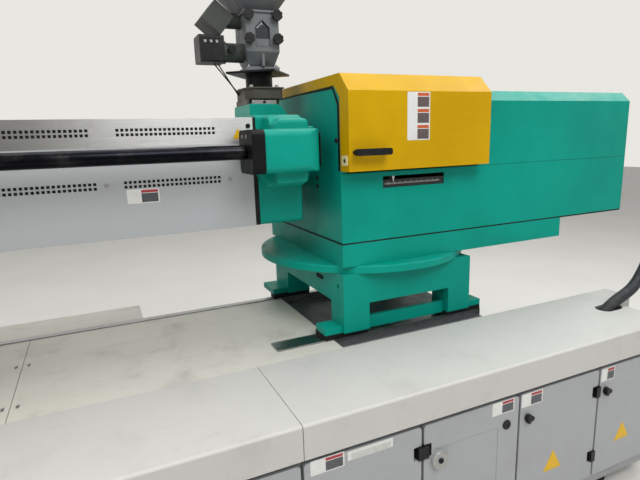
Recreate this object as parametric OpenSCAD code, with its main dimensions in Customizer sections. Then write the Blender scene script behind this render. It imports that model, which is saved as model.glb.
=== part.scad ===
// Horizontal injection moulding machine. X runs along the machine, the operator stands at -Y.
// The origin lies on the floor near the middle of the bed.

/* [Bed] */
// Left end of the bed
left_x = -2800; // [-3000:25:-2750]
// Width of the bed
bed_w = 1320; // [1300:10:1400]
// Height of the cover tops above the floor
bed_top = 700; // [680:5:760]
// Height of the levelling feet
foot_h = 60; // [40:5:90]
// Radius of a levelling foot
foot_r = 55; // [40:5:70]
// Depth of the front cabinet covers, front to back
strip_w = 406; // [396:2:412]
// Height of the skirt on the front covers
skirt_h = 106; // [90:2:116]
// Thickness of the cover sheet
sheet = 4; // [2:0.5:5]
// Outer bend radius of the front covers
bend_r = 9; // [6:1:14]
// Seam between the left and the middle front cover
cover_seam_x = 842; // [836:1:846]
// Right end of the front covers, over the last door
cover_end_x = 2476; // [2474:1:2486]
// Right end of the frame behind the rails
frame_end_x = 1925; // [1920:5:1980]
// Height of the low base frame right of the rails
low_frame_z = 160; // [140:5:200]
// Right end of the terminal box at the bed's end
box_end_x = 2630; // [2600:5:2660]
// Depth of the terminal box, front to back
end_box_w = 124; // [110:2:130]
// Open joint between two cover sheets
joint_gap = 2; // [1:0.5:4]
// How far the deck lies under the cover tops
deck_drop = 5; // [3:1:8]
// Seam in the deck behind the fixed platen
deck_seam_x = 93; // [80:1:110]
// Right end of the deck
deck_end_x = 1180; // [1170:5:1200]
// Right end of the rear ledge
ledge_end_x = 534; // [500:2:600]
// Height of the cabinet roof behind the rear rail, right of the ledge
rear_low_z = 560; // [500:10:600]

/* [Doors] */
// Left edge of the second door's field
door_x0 = 838; // [834:1:842]
// Distance from one door to the next
door_pitch = 409; // [405:1:412]
// Gap between two doors
door_gap = 10; // [8:1:14]
// Bottom edge of the doors
door_z0 = 120; // [110:5:140]
// Top edge of the doors
door_z1 = 576; // [560:2:584]
// Depth of a door tray
door_t = 20; // [18:1:22]
// Corner radius of a door
door_r = 12; // [6:1:18]
// How far the doors lie behind the cover skirt
door_set = 8; // [6:1:12]
// Depth of a cabinet bay
bay_d = 300; // [250:10:330]
// Radius of a door hinge pin
pin_r = 4; // [3:0.5:5]
// Height of the upper door hinge above the door's bottom edge
hinge_hi = 367; // [340:1:380]
// Height of the lower door hinge above the door's bottom edge
hinge_lo = 92; // [70:1:120]
// Height of a turn knob above the floor
knob_z = 482; // [470:1:500]
// Distance of a turn knob from its door's edge
knob_in = 34; // [30:1:40]
// Radius of the turn knob's shaft
knob_shaft_r = 8; // [6:0.5:9]

/* [Rails] */
// Height of a carriage guide rail
rail_h = 40; // [30:2:50]
// Width of the front carriage rail
front_rail_w = 80; // [60:2:90]
// Middle of the front carriage rail
front_rail_y = -124; // [-130:1:-118]
// Left end of the front carriage rail
front_rail_x0 = 950; // [940:5:960]
// Width of the rear carriage rail
rear_rail_w = 32; // [26:1:36]
// Middle of the rear carriage rail
rear_rail_y = 443; // [440:1:446]
// Left end of the rear carriage rail
rear_rail_x0 = -250; // [-250:5:-200]
// Right end of both rails
rail_x1 = 1915; // [1910:1:1918]

/* [Clamp unit] */
// Distance of the machine's axis behind the bed's middle
axis_y = 216; // [214:1:218]
// Height of the machine's axis above the floor
axis_z = 1355; // [1350:1:1360]
// Side of a platen
platen_w = 830; // [810:5:840]
// Thickness of the fixed platen
fixed_t = 200; // [180:5:210]
// Rear face of the fixed platen
fixed_x = -260; // [-262:1:-256]
// Thickness of the moving platen
moving_t = 180; // [150:5:200]
// Mould face of the moving platen, clamp open
moving_x = -1340; // [-1350:5:-1330]
// Thickness of the end platen
end_t = 220; // [180:5:240]
// Rear face of the end platen
end_x = -2260; // [-2280:5:-2250]
// Distance between the tie bars
tie_pitch = 570; // [560:2:580]
// Radius of a tie bar
tie_r = 40; // [35:1:45]
// Length of a tie bar nut
nut_l = 70; // [60:2:80]
// Radius of a tie bar nut over its corners
nut_r = 65; // [60:1:66]
// Radius of the clamp ram
ram_r = 85; // [75:1:95]
// Length of the clamp ram
ram_l = 1160; // [1150:5:1170]
// Outer radius of the clamp cylinder
cyl_r = 170; // [150:5:180]
// Length of the clamp cylinder
cyl_l = 450; // [445:5:460]
// Thickness of the clamp cylinder's end cap
cyl_cap_t = 45; // [40:5:60]
// Radius of the locating ring recess
locating_r = 62.5; // [62:0.5:65]
// Depth of the locating ring recess
locating_d = 25; // [20:1:30]
// Radius of the nozzle hole in the fixed platen
nozzle_hole_r = 58; // [56:1:60]
// Radius of the well for the heated barrel end in the fixed platen
nozzle_well_r = 100; // [95:1:110]
// Depth of the well for the heated barrel end
nozzle_well_d = 110; // [100:5:120]
// Side of the square pattern of mould bolts
bolt_pitch = 350; // [340:5:360]
// Radius of a mould bolt hole
bolt_r = 7; // [6:0.5:8]
// Depth of a mould bolt hole
bolt_d = 45; // [35:1:60]
// Radius of the ejector bar
ejector_r = 20; // [16:1:24]

/* [Gates and covers] */
// Length of a sliding gate
gate_l = 1040; // [1000:10:1060]
// Height of a sliding gate
gate_h = 1010; // [980:5:1040]
// Distance of the gate plane from the machine's axis
gate_y = 540; // [536:1:544]
// Distance of the rear gate plane from the machine's axis
rear_gate_y = 424; // [423:0.5:425]
// Thickness of a gate
gate_t = 14; // [12:1:16]
// Thickness of a clamp cover panel
cover_t = 4; // [3:0.5:5]
// Height of the clamp covers above the floor
cover_top = 1900; // [1880:5:1940]
// Length of the purge guard
purge_l = 240; // [220:5:250]

/* [Injection unit] */
// Left face of the unit's end plate
unit_x = 1218; // [1216:1:1220]
// Front plane of the unit's housing
unit_y = -184; // [-186:1:-182]
// Depth of the unit's housing, front to back
unit_w = 800; // [796:1:804]
// Length of the unit's housing
unit_l = 1571; // [1560:1:1590]
// Bottom edge of the housing panels
unit_z = 1077; // [1075:1:1080]
// Height of the front panel up to its seam
seam_h = 261; // [255:1:266]
// Height of the housing top above its bottom edge
unit_h = 563; // [558:1:566]
// Chamfer along the top of the housing
unit_chamfer = 42; // [35:1:50]
// Thickness of the housing sheet
panel_t = 3; // [2:0.5:4]
// Thickness of the end plate
end_plate_t = 25; // [20:1:30]
// Length of the unit's base under the housing
base_l = 1148; // [1140:2:1160]
// Height of the unit's base
base_h = 87; // [82:1:90]
// Thickness of the floor plate between base and panels
floor_t = 9; // [7:1:12]

/* [Hood] */
// Length of the hood
hood_l = 637; // [630:1:642]
// How far the hood stands out in front of the housing
hood_out = 66; // [60:1:70]
// Bottom edge of the hood above the housing's bottom edge
hood_z0 = 270; // [266:1:274]
// Top of the hood above the housing's bottom edge
hood_h = 612; // [606:1:618]
// Chamfer along the front of the hood
hood_chamfer = 64; // [56:1:70]
// Thickness of the hood sheet
hood_t = 3; // [2:0.5:4]
// Width of the hood's end flange
hood_rim = 40; // [34:1:44]

/* [Pedestal] */
// Length of the pedestal
ped_l = 614; // [600:2:620]
// Depth of the pedestal, front to back
ped_w = 769; // [760:1:775]
// Top of the pedestal above the floor
ped_top = 954; // [950:1:958]
// Lower edge of the pedestal's webs above the floor
web_z = 828; // [815:1:840]
// Width of a pedestal leg
leg_w = 114; // [100:1:120]
// Depth of a front pedestal leg
leg_d = 110; // [100:1:116]
// Depth of a rear pedestal leg
rear_leg_d = 170; // [160:1:180]
// Thickness of the pedestal's plates
web_t = 20; // [12:1:25]
// Thickness of a foot plate
foot_plate_t = 25; // [20:1:30]
// Thickness of a slide pad
pad_t = 20; // [15:1:24]
// How far a foot plate reaches past its leg
foot_out = 75; // [60:1:80]
// Radius of the turntable
turn_r = 465; // [455:1:470]
// Middle of the turntable along the machine
turn_x = 1515; // [1505:1:1525]

/* [Barrel] */
// Outer radius of the barrel
barrel_r = 55; // [50:1:60]
// Bore radius of the barrel
bore_r = 25; // [22:0.5:30]
// Radial play of everything that slides or turns in a bore
fit = 0.05; // [0.03:0.01:0.09]
// Left end of the barrel
barrel_x0 = -120; // [-130:5:-110]
// Length of the nozzle
nozzle_l = 90; // [80:2:100]
// Outer radius of a heater band
heater_r = 75; // [68:1:80]
// Length of a heater band
heater_l = 110; // [90:2:120]
// Distance from one heater band to the next
heater_pitch = 160; // [150:2:165]
// Number of heater bands
heaters = 6; // [4:1:6]
// Pitch of the screw flight
flight_pitch = 50; // [40:2:60]

/* [Barrel guards] */
// Half the width of the barrel guards
guard_w2 = 236; // [230:1:240]
// Left end of the barrel guards
guard_x0 = 20; // [15:1:25]
// Bottom edge of the lower guard
guard_z0 = 1153; // [1150:1:1156]
// Seam between the lower and the upper guard
guard_seam_z = 1457; // [1450:1:1464]
// Top of the upper guard
guard_z1 = 1549; // [1546:1:1552]
// Thickness of the guard sheet
guard_t = 2; // [1.5:0.5:3]
// Side of a square vent hole
vent = 9.5; // [8:0.5:11]
// Distance from one vent hole to the next
vent_pitch = 15; // [14.5:0.5:16]
// Vent holes in a row
vent_n = 22; // [18:1:22]

/* [Feed casting] */
// Left face of the feed casting
cast_x0 = 957; // [955:1:959]
// Right face of the feed casting's body
cast_x1 = 1130; // [1125:1:1135]
// Left end of the cylinder blocks
block_x0 = 928; // [926:1:930]
// Right end of the cylinder blocks
block_x1 = 1145; // [1140:1:1150]
// Height of a cylinder block
block_h = 148; // [140:2:154]
// Depth of a cylinder block in front of the casting's body
block_d = 185; // [180:1:190]
// Edge radius of a cylinder block
block_r = 24; // [15:1:30]
// Length of a cylinder end cap
cap_l = 46; // [40:1:52]
// Distance of a carriage rod from the machine's axis
rod_y = 350; // [346:1:354]
// Height of the carriage rods above the machine's axis
rod_z = 73; // [70:1:76]
// Radius of a carriage rod
rod_r = 25; // [22:0.5:28]
// Right end of the carriage rods
rod_x1 = 886; // [884:1:888]
// Top of the feed tower
tower_z = 1606; // [1602:1:1610]

/* [Feed stack] */
// Middle of the feed stack along the machine
feed_x = 1057; // [1053:1:1061]
// Radius of the pellet duct
duct_r = 30; // [25:1:32]
// Thickness of the shut-off plate
slide_t = 14; // [10:1:16]
// Length of the clamp block
clamp_w = 144; // [138:2:150]
// Depth of the clamp block
clamp_d = 200; // [190:2:210]
// Height of the clamp block
clamp_h = 44; // [40:1:50]
// Radius of the black neck
neck_r = 54; // [48:1:56]
// Height of the black neck
neck_h = 56; // [50:1:60]
// Side of the square flange plate
flange_w = 200; // [190:2:210]
// Turn of the flange plate about the stack's axis
flange_turn = -38; // [-45:1:-30]
// Width of the neckpiece
piece_w = 130; // [124:1:136]
// Depth of the neckpiece
piece_d = 190; // [180:1:200]
// Height of the neckpiece's straight body
piece_h = 146; // [140:1:152]
// Height of the neckpiece's tapered foot
taper_h = 70; // [66:1:76]
// Turn of the neckpiece about the stack's axis
piece_turn = -4; // [-8:1:8]
// Side of the main hopper
hopper_w = 420; // [380:5:450]
// Height of the hopper's cone
cone_h = 200; // [180:5:240]
// Height of the hopper's box
hopper_h = 340; // [300:5:380]
// Thickness of the hopper's sheet
hopper_t = 3; // [2:0.5:4]

/* [Injection drive] */
// Left face of the crosshead
head_x = 1440; // [1436:1:1446]
// Thickness of the crosshead
head_t = 80; // [70:2:90]
// Distance of a guide bar from the machine's axis
bar_y = 210; // [205:1:215]
// Radius of a guide bar
bar_r = 28; // [24:1:30]
// Left face of the rear plate
rear_plate_x = 2000; // [1990:5:2010]
// Thickness of the rear plate
rear_plate_t = 40; // [30:2:50]
// Distance of an injection cylinder from the machine's axis
inj_z = 150; // [140:2:160]
// Radius of an injection rod
inj_rod_r = 20; // [16:1:24]
// Outer radius of an injection cylinder
inj_cyl_r = 55; // [50:1:60]
// Length of an injection cylinder
inj_cyl_l = 420; // [400:5:440]
// Radius of the screw drive motor
motor_r = 110; // [100:2:120]

/* [Conduit] */
// Outer radius of the flexible conduit
conduit_r = 25; // [20:1:26]

/* [Hidden] */
$fn = 48;
teal = [0.03, 0.6, 0.52];
cover_grey = [0.8, 0.8, 0.78];
front_y = -bed_w / 2;
back_y = bed_w / 2;
strip_y = front_y + strip_w;
cab_x1 = cover_end_x - 2;
bed_l = cab_x1 - left_x;
frame_top = bed_top - deck_drop - sheet;
rail_z = bed_top - rail_h;
cab_y0 = front_y + door_set + door_t + 4;
cab_y1 = strip_y - 2;
door_y = front_y + door_set;
pin_y = door_y + door_t / 2;
pin_in = 8;
hinge_h = 44;
notch_h = 46;
play = 0.3;
chute_x0 = moving_x + 40;
chute_x1 = fixed_x - fixed_t - 40;
chute_w = 550;
platen_z0 = axis_z - platen_w / 2;
platen_y0 = axis_y - platen_w / 2;
platen_ref = 830;
rear_gate_y0 = axis_y + rear_gate_y + (platen_w - platen_ref) / 2;
foot_w = 140;
strip_t = bed_top - frame_top;
unit_y1 = unit_y + unit_w;
unit_x1 = unit_x + unit_l;
seam_z = unit_z + seam_h;
unit_top = unit_z + unit_h;
hood_x1 = unit_x + hood_l;
hood_y = unit_y - hood_out;
hood_bottom = unit_z + hood_z0;
hood_top = unit_z + hood_h;
base_z1 = unit_z - 6;
base_z0 = base_z1 - base_h;
ped_y1 = unit_y + ped_w;
foot_z = bed_top + pad_t;
guard_y0 = axis_y - guard_w2;
guard_y1 = axis_y + guard_w2;
rod_zz = axis_z + rod_z;
block_y = guard_y0 - block_d;
barrel_x1 = unit_x + end_plate_t + 30;
clamp_z = tower_z + slide_t + 6;
neck_z = clamp_z + clamp_h;
flange_z = neck_z + neck_h;
flange_t = 8;
piece_z = flange_z + flange_t;
body_z = piece_z + taper_h;
hopper_z = body_z + piece_h;
hopper_z1 = hopper_z + cone_h + hopper_h;
tower_x0 = 977;
drive_x0 = 812;
drive_x1 = 906;
drive_z = 1762;
box_x = 898;
box_z = 1932;
box_tilt = 40;
tube_y = 202;
tube_z = 1805;
tube_r = 36;
window_x0 = 1396;
window_x1 = 1683;
window_z0 = 1275;
window_z1 = 1319;
pointer_x = head_x + 4;
ram_x0 = moving_x - moving_t - ram_l;
lower_vent_x = [491, 82];
lower_vent_z = 1346;
upper_vent_x = [482, 75];
upper_vent_z = 1517;
hose_y = -440;
slot_x0 = 2335;
slot_x1 = 2452;
slot_r = 31;
pocket_z = 643;
hose_end = [2500, hose_y, 565];
conduit_path = [[2335, hose_y, 664], [2372, hose_y, 690], [2410, hose_y, 712], [2447, hose_y, 729],
  [2492, hose_y, 745], [2541, hose_y, 768], [2580, hose_y, 803], [2615, hose_y, 852],
  [2648, hose_y, 905], [2690, hose_y, 945], [2745, hose_y, 962], [2800, hose_y, 945],
  [2836, hose_y, 900], [2850, hose_y, 835], [2846, hose_y, 760], [2825, hose_y, 690],
  [2785, hose_y, 632], [2725, hose_y, 592], [2650, hose_y, 572], [2575, hose_y, 565], hose_end];

// A box between two opposite corners
module span(a, b) {
  translate(a) cube([b[0] - a[0], b[1] - a[1], b[2] - a[2]]);
}

// A rectangle with round corners, lower left corner at the origin
module round_rect(w, h, r) {
  translate([r, 0]) square([w - 2 * r, h]);
  translate([0, r]) square([w, h - 2 * r]);
  for (x = [r, w - r], y = [r, h - r]) translate([x, y]) circle(r);
}

// Carries a profile drawn in Y and Z along the X axis
module along_x(x0, x1) {
  translate([x0, 0, 0]) rotate([90, 0, 90]) linear_extrude(x1 - x0) children();
}

// Carries a profile drawn in X and Z along the Y axis, towards +Y
module along_y(y0, y1) {
  translate([0, y1, 0]) rotate([90, 0, 0]) linear_extrude(y1 - y0) children();
}

// A round bar along X
module bar_x(x0, x1, y, z, r) {
  translate([x0, y, z]) rotate([0, 90, 0]) cylinder(h = x1 - x0, r = r);
}

// A round bar along Y
module bar_y_dir(y0, y1, x, z, r) {
  translate([x, y1, z]) rotate([90, 0, 0]) cylinder(h = y1 - y0, r = r);
}

// Copies its children to the four tie bar places
module at_tie_bars() {
  for (sy = [-1, 1], sz = [-1, 1])
    translate([0, axis_y + sy * tie_pitch / 2, axis_z + sz * tie_pitch / 2]) children();
}

// Mirrors its children about the plane of the machine's axis as well
module both_sides() {
  children();
  translate([0, 2 * axis_y, 0]) mirror([0, 1, 0]) children();
}

// The welded bed frame with the part chute, the rail seats and the low rear step
module bed_frame() {
  color("dimgray") difference() {
    union() {
      span([left_x + 10, cab_y1, foot_h], [cab_x1, back_y - 10, low_frame_z]);
      span([left_x + 10, cab_y1, low_frame_z], [frame_end_x, back_y - 10, rear_low_z]);
      span([left_x + 10, cab_y1, rear_low_z], [ledge_end_x, back_y - 10, frame_top]);
      span([ledge_end_x, cab_y1, rear_low_z], [deck_end_x, rear_rail_y - rear_rail_w / 2, frame_top]);
      span([ledge_end_x, cab_y1, rear_low_z],
        [frame_end_x, rear_rail_y + rear_rail_w / 2 + 8, rail_z]);
    }
    span([chute_x0, axis_y - chute_w / 2, foot_h - 1], [chute_x1, axis_y + chute_w / 2, bed_top]);
    span([front_rail_x0, front_rail_y - front_rail_w / 2, rail_z],
      [deck_end_x + 1, front_rail_y + front_rail_w / 2, bed_top]);
    span([rear_rail_x0, rear_rail_y - rear_rail_w / 2, rail_z],
      [rail_x1 + 1, rear_rail_y + rear_rail_w / 2, bed_top]);
  }
}

// Five pairs of levelling feet with their spindles
module foot_pads() {
  color("black") for (i = [0:4], y = [front_y + 120, back_y - 120])
    translate([left_x + 250 + i * (bed_l - 500) / 4, y, 0]) {
      cylinder(h = 22, r = foot_r);
      cylinder(h = foot_h, r = foot_r / 3);
    }
}

// One bay's left and right limits, counted from the leftmost door
function door_left(i) = door_x0 + (i - 1) * door_pitch + door_gap / 2;
function door_right(i) = door_left(i) + door_pitch - door_gap;

// The front cabinet with five open bays, a pocket for the hose and the terminal box at its end
module cabinet_body() {
  color("slategray") difference() {
    union() {
      span([left_x + 10, cab_y0, foot_h], [cab_x1, cab_y1, bed_top - sheet]);
      span([cab_x1 - 1, strip_y - end_box_w + sheet, 300], [box_end_x - sheet, cab_y1, bed_top - sheet]);
    }
    span([slot_x0 - 24, hose_y - slot_r - 4, pocket_z], [slot_x1 + 4, hose_y + slot_r + 4, bed_top]);
    for (i = [0:4])
      span([door_left(i) + 30, cab_y0 - 1, door_z0 + 20],
        [door_right(i) - 30, cab_y0 + bay_d, door_z1 - 14]);
    for (i = [0:7])
      span([left_x + 10 + i * door_pitch, cab_y0 - 1, foot_h + 60],
        [left_x + 14 + i * door_pitch, cab_y0 + 4, door_z1]);
  }
}

// Mounting plates with rows of switchgear at the back of the bays
module switchgear() {
  color("whitesmoke") for (i = [0:4]) {
    span([door_left(i) + 50, cab_y0 + bay_d - 8, door_z0 + 40],
      [door_right(i) - 50, cab_y0 + bay_d, door_z1 - 34]);
    for (r = [0:1], k = [0:3])
      span([door_left(i) + 70 + k * 66, cab_y0 + bay_d - 78, door_z0 + 70 + r * 170],
        [door_left(i) + 122 + k * 66, cab_y0 + bay_d - 8, door_z0 + 170 + r * 170]);
  }
}

// The bent section of a front cover, drawn in Y and Z
module cover_section() {
  difference() {
    union() {
      translate([front_y, bed_top - skirt_h]) square([bend_r, skirt_h - bend_r]);
      translate([front_y + bend_r, bed_top - 2 * bend_r]) square([strip_w - bend_r - 1, 2 * bend_r]);
      translate([front_y + bend_r, bed_top - bend_r]) circle(bend_r);
    }
    translate([front_y + sheet, bed_top - skirt_h - 1]) square([bend_r, skirt_h + 1 - bend_r]);
    translate([front_y + bend_r, bed_top - 3 * bend_r]) square([strip_w, 3 * bend_r - sheet]);
    translate([front_y + bend_r, bed_top - bend_r]) circle(bend_r - sheet);
  }
}

// The oval slot where the hose leaves the cabinet, widened by grow
module hose_slot(grow, z0, z1) {
  r = slot_r + grow;
  for (x = [slot_x0 + slot_r, slot_x1 - slot_r]) translate([x, hose_y, z0]) cylinder(h = z1 - z0, r = r);
  span([slot_x0 + slot_r, hose_y - r, z0], [slot_x1 - slot_r, hose_y + r, z1]);
}

// Two bent sheet covers over the front cabinet and the lid of the terminal box
module front_covers() {
  y0 = strip_y - end_box_w;
  color(cover_grey) {
    along_x(left_x, cover_seam_x - joint_gap / 2) cover_section();
    difference() {
      along_x(cover_seam_x + joint_gap / 2, cover_end_x - joint_gap / 2) cover_section();
      hose_slot(0, bed_top - 20, bed_top + 1);
    }
    difference() {
      span([cover_end_x + joint_gap / 2, y0, bed_top - skirt_h], [box_end_x, strip_y - 1, bed_top]);
      span([cover_end_x - 1, y0 + sheet, bed_top - skirt_h - 1],
        [box_end_x - sheet, strip_y + 1, bed_top - sheet]);
    }
  }
}

// An oval slot through a deck panel
module deck_slot(x, y) {
  translate([x, y, frame_top - 1]) for (k = [-1, 1]) translate([0, k * 9, 0]) cylinder(h = 20, r = 5);
  translate([x - 5, y - 9, frame_top - 1]) cube([10, 18, 20]);
}

// Deck sheets right of the fixed platen and the ledge behind the rear rail
module deck_panels() {
  color("silver") {
    difference() {
      span([fixed_x + 10, strip_y + 1, frame_top], [deck_seam_x - joint_gap / 2,
        rear_rail_y - rear_rail_w / 2 - 1, frame_top + sheet]);
      for (y = [-150, 168]) deck_slot(deck_seam_x - 20, y);
    }
    difference() {
      span([deck_seam_x + joint_gap / 2, strip_y + 1, frame_top], [deck_end_x,
        rear_rail_y - rear_rail_w / 2 - 1, frame_top + sheet]);
      for (y = [-150, 168]) deck_slot(deck_seam_x + 20, y);
      span([front_rail_x0 - 1, front_rail_y - front_rail_w / 2 - 1, frame_top - 1],
        [deck_end_x + 1, front_rail_y + front_rail_w / 2 + 1, bed_top]);
    }
    span([rear_rail_x0, rear_rail_y + rear_rail_w / 2 + 1, frame_top], [ledge_end_x, back_y, bed_top]);
    span([rear_rail_x0, back_y - 10, frame_top - 40], [ledge_end_x, back_y, frame_top]);
  }
}

// Two ground rails for the injection unit and two strips for the moving platen
module guide_rails() {
  color("silver") {
    span([front_rail_x0, front_rail_y - front_rail_w / 2, rail_z],
      [rail_x1, front_rail_y + front_rail_w / 2, bed_top]);
    span([rear_rail_x0, rear_rail_y - rear_rail_w / 2, rail_z],
      [rail_x1, rear_rail_y + rear_rail_w / 2, bed_top]);
    for (y = [platen_y0, platen_y0 + platen_w - foot_w])
      span([end_x + end_t + 20, y + 10, frame_top], [fixed_x - fixed_t - 20, y + foot_w - 10, bed_top]);
    for (y = [-146, 146])
      span([fixed_x, axis_y + y - 12, 1105], [60, axis_y + y + 12, 1127]);
  }
}

// Where a door's hinge pin stands: the sign is -1 for a left hinge
function pin_x(i, side) = side < 0 ? door_left(i) + pin_in : door_right(i) - pin_in;

// A hinge block between two doors with a pin for each door in the list
module hinge_pair(x0, x1, pins) {
  for (h = [hinge_lo, hinge_hi]) {
    span([x0, front_y, door_z0 + h - hinge_h / 2], [x1, cab_y0, door_z0 + h + hinge_h / 2]);
    for (p = pins) translate([p, pin_y, door_z0 + h - hinge_h / 2 - 14])
      cylinder(h = hinge_h + 28, r = pin_r);
  }
}

// Black hinge blocks with their pins
module door_hinges() {
  color("black") {
    hinge_pair(door_left(0) - 24, door_left(0) + 14, [pin_x(0, -1)]);
    hinge_pair(door_right(1) - 15, door_left(2) + 15, [pin_x(1, 1), pin_x(2, -1)]);
    hinge_pair(door_right(3) - 14, door_right(3) + 7, [pin_x(3, 1)]);
    hinge_pair(door_right(4) - 14, door_right(4) + 20, [pin_x(4, 1)]);
  }
}

// A door pressed as a tray, with hinge bosses and notches on one side
module door(i, side, knob = false) {
  w = door_pitch - door_gap;
  h = door_z1 - door_z0;
  hx = pin_x(i, side);
  edge = side < 0 ? door_left(i) : door_right(i);
  color("darkgray") difference() {
    union() {
      translate([door_left(i), door_y + door_t, door_z0]) rotate([90, 0, 0]) difference() {
        linear_extrude(door_t) round_rect(w, h, door_r);
        translate([sheet, sheet, -1]) linear_extrude(door_t - sheet + 1)
          round_rect(w - 2 * sheet, h - 2 * sheet, door_r - sheet);
      }
      for (p = [hinge_lo, hinge_hi], s = [-1, 1])
        span([min(edge, edge - side * 24), door_y, door_z0 + p + s * 32 - 10],
          [max(edge, edge - side * 24), door_y + door_t, door_z0 + p + s * 32 + 10]);
    }
    for (p = [hinge_lo, hinge_hi]) {
      span([min(edge + side, edge - side * 29), door_y - 1, door_z0 + p - notch_h / 2],
        [max(edge + side, edge - side * 29), door_y + door_t + 1, door_z0 + p + notch_h / 2]);
      translate([hx, pin_y, door_z0 + p - 40]) cylinder(h = 80, r = pin_r + fit);
    }
    if (knob)
      bar_y_dir(door_y - 1, door_y + door_t, door_left(i) + knob_in, knob_z, knob_shaft_r + fit);
  }
}

module door_1() { door(0, -1); }
module door_2() { door(1, 1); }

// The third door has a recessed panel and a round steel disc
module door_3() {
  difference() {
    door(2, -1);
    span([door_left(2) + 40, door_y - 1, door_z0 + 40], [door_right(2) - 90, door_y + 2, 483]);
  }
  color("silver") bar_y_dir(door_y - 12, door_y + 2, door_left(2) + 57, 445, 31);
}
module door_4() { door(3, 1, true); }
module door_5() { door(4, 1, true); }

// A three-lobed turn knob with its shaft and latch tongue
module turn_knob(i) {
  x = door_left(i) + knob_in;
  color("black") {
    bar_y_dir(door_y - 6, door_y, x, knob_z, 14);
    for (a = [0:120:240])
      bar_y_dir(door_y - 17, door_y - 5, x + 9 * cos(a), knob_z + 9 * sin(a), 9);
    bar_y_dir(door_y - 14, door_y + door_t - 6, x, knob_z, knob_shaft_r);
    span([x - 24, door_y + door_t - 12, knob_z - 7], [x + 7, door_y + door_t - 6, knob_z + 7]);
  }
}
module door_knob_4() { turn_knob(3); }
module door_knob_5() { turn_knob(4); }

// Vectors for the swept conduit
function unit_vec(v) = v / norm(v);
function path_dir(p, i) = i == 0 ? unit_vec(p[1] - p[0]) : i == len(p) - 1 ? [-1, 0, 0]
  : unit_vec(p[i + 1] - p[i - 1]);
function ring(p, i, r, n) = let (t = path_dir(p, i), side = [0, 1, 0], up = cross(t, side))
  [for (k = [0:n - 1]) p[i] + r * (cos(360 * k / n) * side + sin(360 * k / n) * up)];

// A tube swept along a list of points
module tube(p, r, n = 12) {
  m = len(p);
  pts = [for (i = [0:m - 1]) each ring(p, i, r, n)];
  walls = [for (i = [0:m - 2], k = [0:n - 1])
    [i * n + k, i * n + (k + 1) % n, (i + 1) * n + (k + 1) % n, (i + 1) * n + k]];
  polyhedron(points = pts, faces = concat([[for (k = [n - 1:-1:0]) k]], walls,
    [[for (k = [0:n - 1]) (m - 1) * n + k]]));
}

module conduit() { color("dimgray") tube(conduit_path, conduit_r); }

// The rubber edge of the hose's slot and the gland on the cabinet's end wall
module conduit_glands() {
  color("black") {
    difference() {
      hose_slot(5, bed_top, bed_top + 1.5);
      hose_slot(0, bed_top - 1, bed_top + 3);
    }
    bar_x(cab_x1, hose_end[0], hose_y, hose_end[2], conduit_r + 8);
  }
}

// A platen with tie bar holes, cast feet and a cut at each corner
module platen(x0, x1, r) {
  cut = 60;
  w = platen_w;
  difference() {
    union() {
      along_x(x0, x1) translate([platen_y0, platen_z0]) polygon([[cut, 0], [w - cut, 0], [w, cut],
        [w, w - cut], [w - cut, w], [cut, w], [0, w - cut], [0, cut]]);
      for (y = [platen_y0, platen_y0 + w - foot_w])
        span([x0 + 20, y, bed_top], [x1 - 20, y + foot_w, platen_z0 + cut]);
    }
    at_tie_bars() translate([x0 - 1, 0, 0]) rotate([0, 90, 0]) cylinder(h = x1 - x0 + 2, r = r);
  }
}

// Four bolt holes of a mould face
module bolt_holes(x0, x1) {
  for (sy = [-1, 1], sz = [-1, 1])
    bar_x(x0, x1, axis_y + sy * bolt_pitch / 2, axis_z + sz * bolt_pitch / 2, bolt_r);
}

module fixed_platen() {
  x0 = fixed_x - fixed_t;
  color("gainsboro") difference() {
    union() {
      platen(x0, fixed_x, tie_r + play);
      for (y = [platen_y0, platen_y0 + platen_w - foot_w])
        span([x0 + 20, y, frame_top], [fixed_x - 20, y + foot_w, bed_top]);
    }
    bar_x(x0 - 1, x0 + locating_d, axis_y, axis_z, locating_r);
    bar_x(x0, fixed_x + 1, axis_y, axis_z, nozzle_hole_r);
    bar_x(fixed_x - nozzle_well_d, fixed_x + 1, axis_y, axis_z, nozzle_well_r);
    bolt_holes(x0 - 1, x0 + bolt_d);
  }
}

module moving_platen() {
  x0 = moving_x - moving_t;
  color("gainsboro") difference() {
    platen(x0, moving_x, tie_r + fit);
    bar_x(moving_x - locating_d, moving_x + 1, axis_y, axis_z, locating_r);
    bar_x(x0 - 1, moving_x, axis_y, axis_z, ejector_r + fit);
    bolt_holes(moving_x - bolt_d, moving_x + 1);
  }
}

// The clamp ram on the back of the moving platen, hollow for the ejector's head
module clamp_ram() {
  x0 = moving_x - moving_t;
  color("silver") difference() {
    bar_x(x0 - ram_l, x0, axis_y, axis_z, ram_r);
    bar_x(x0 - 260, x0 + 1, axis_y, axis_z, ejector_r + 20);
  }
}

module end_platen() {
  color("gainsboro") difference() {
    union() {
      platen(end_x, end_x + end_t, tie_r + play);
      for (y = [platen_y0, platen_y0 + platen_w - foot_w])
        span([end_x + 20, y, frame_top], [end_x + end_t - 20, y + foot_w, bed_top]);
    }
    bar_x(end_x - 1, end_x + end_t + 1, axis_y, axis_z, ram_r + fit);
  }
}

// Four tie bars with a hexagon nut on each end
module tie_bars() {
  color("silver") at_tie_bars() {
    translate([end_x - nut_l, 0, 0]) rotate([0, 90, 0]) cylinder(h = fixed_x - end_x + 2 * nut_l, r = tie_r);
    for (x = [end_x - nut_l, fixed_x])
      translate([x, 0, 0]) rotate([0, 90, 0]) cylinder(h = nut_l, r = nut_r, $fn = 6);
  }
}

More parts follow.
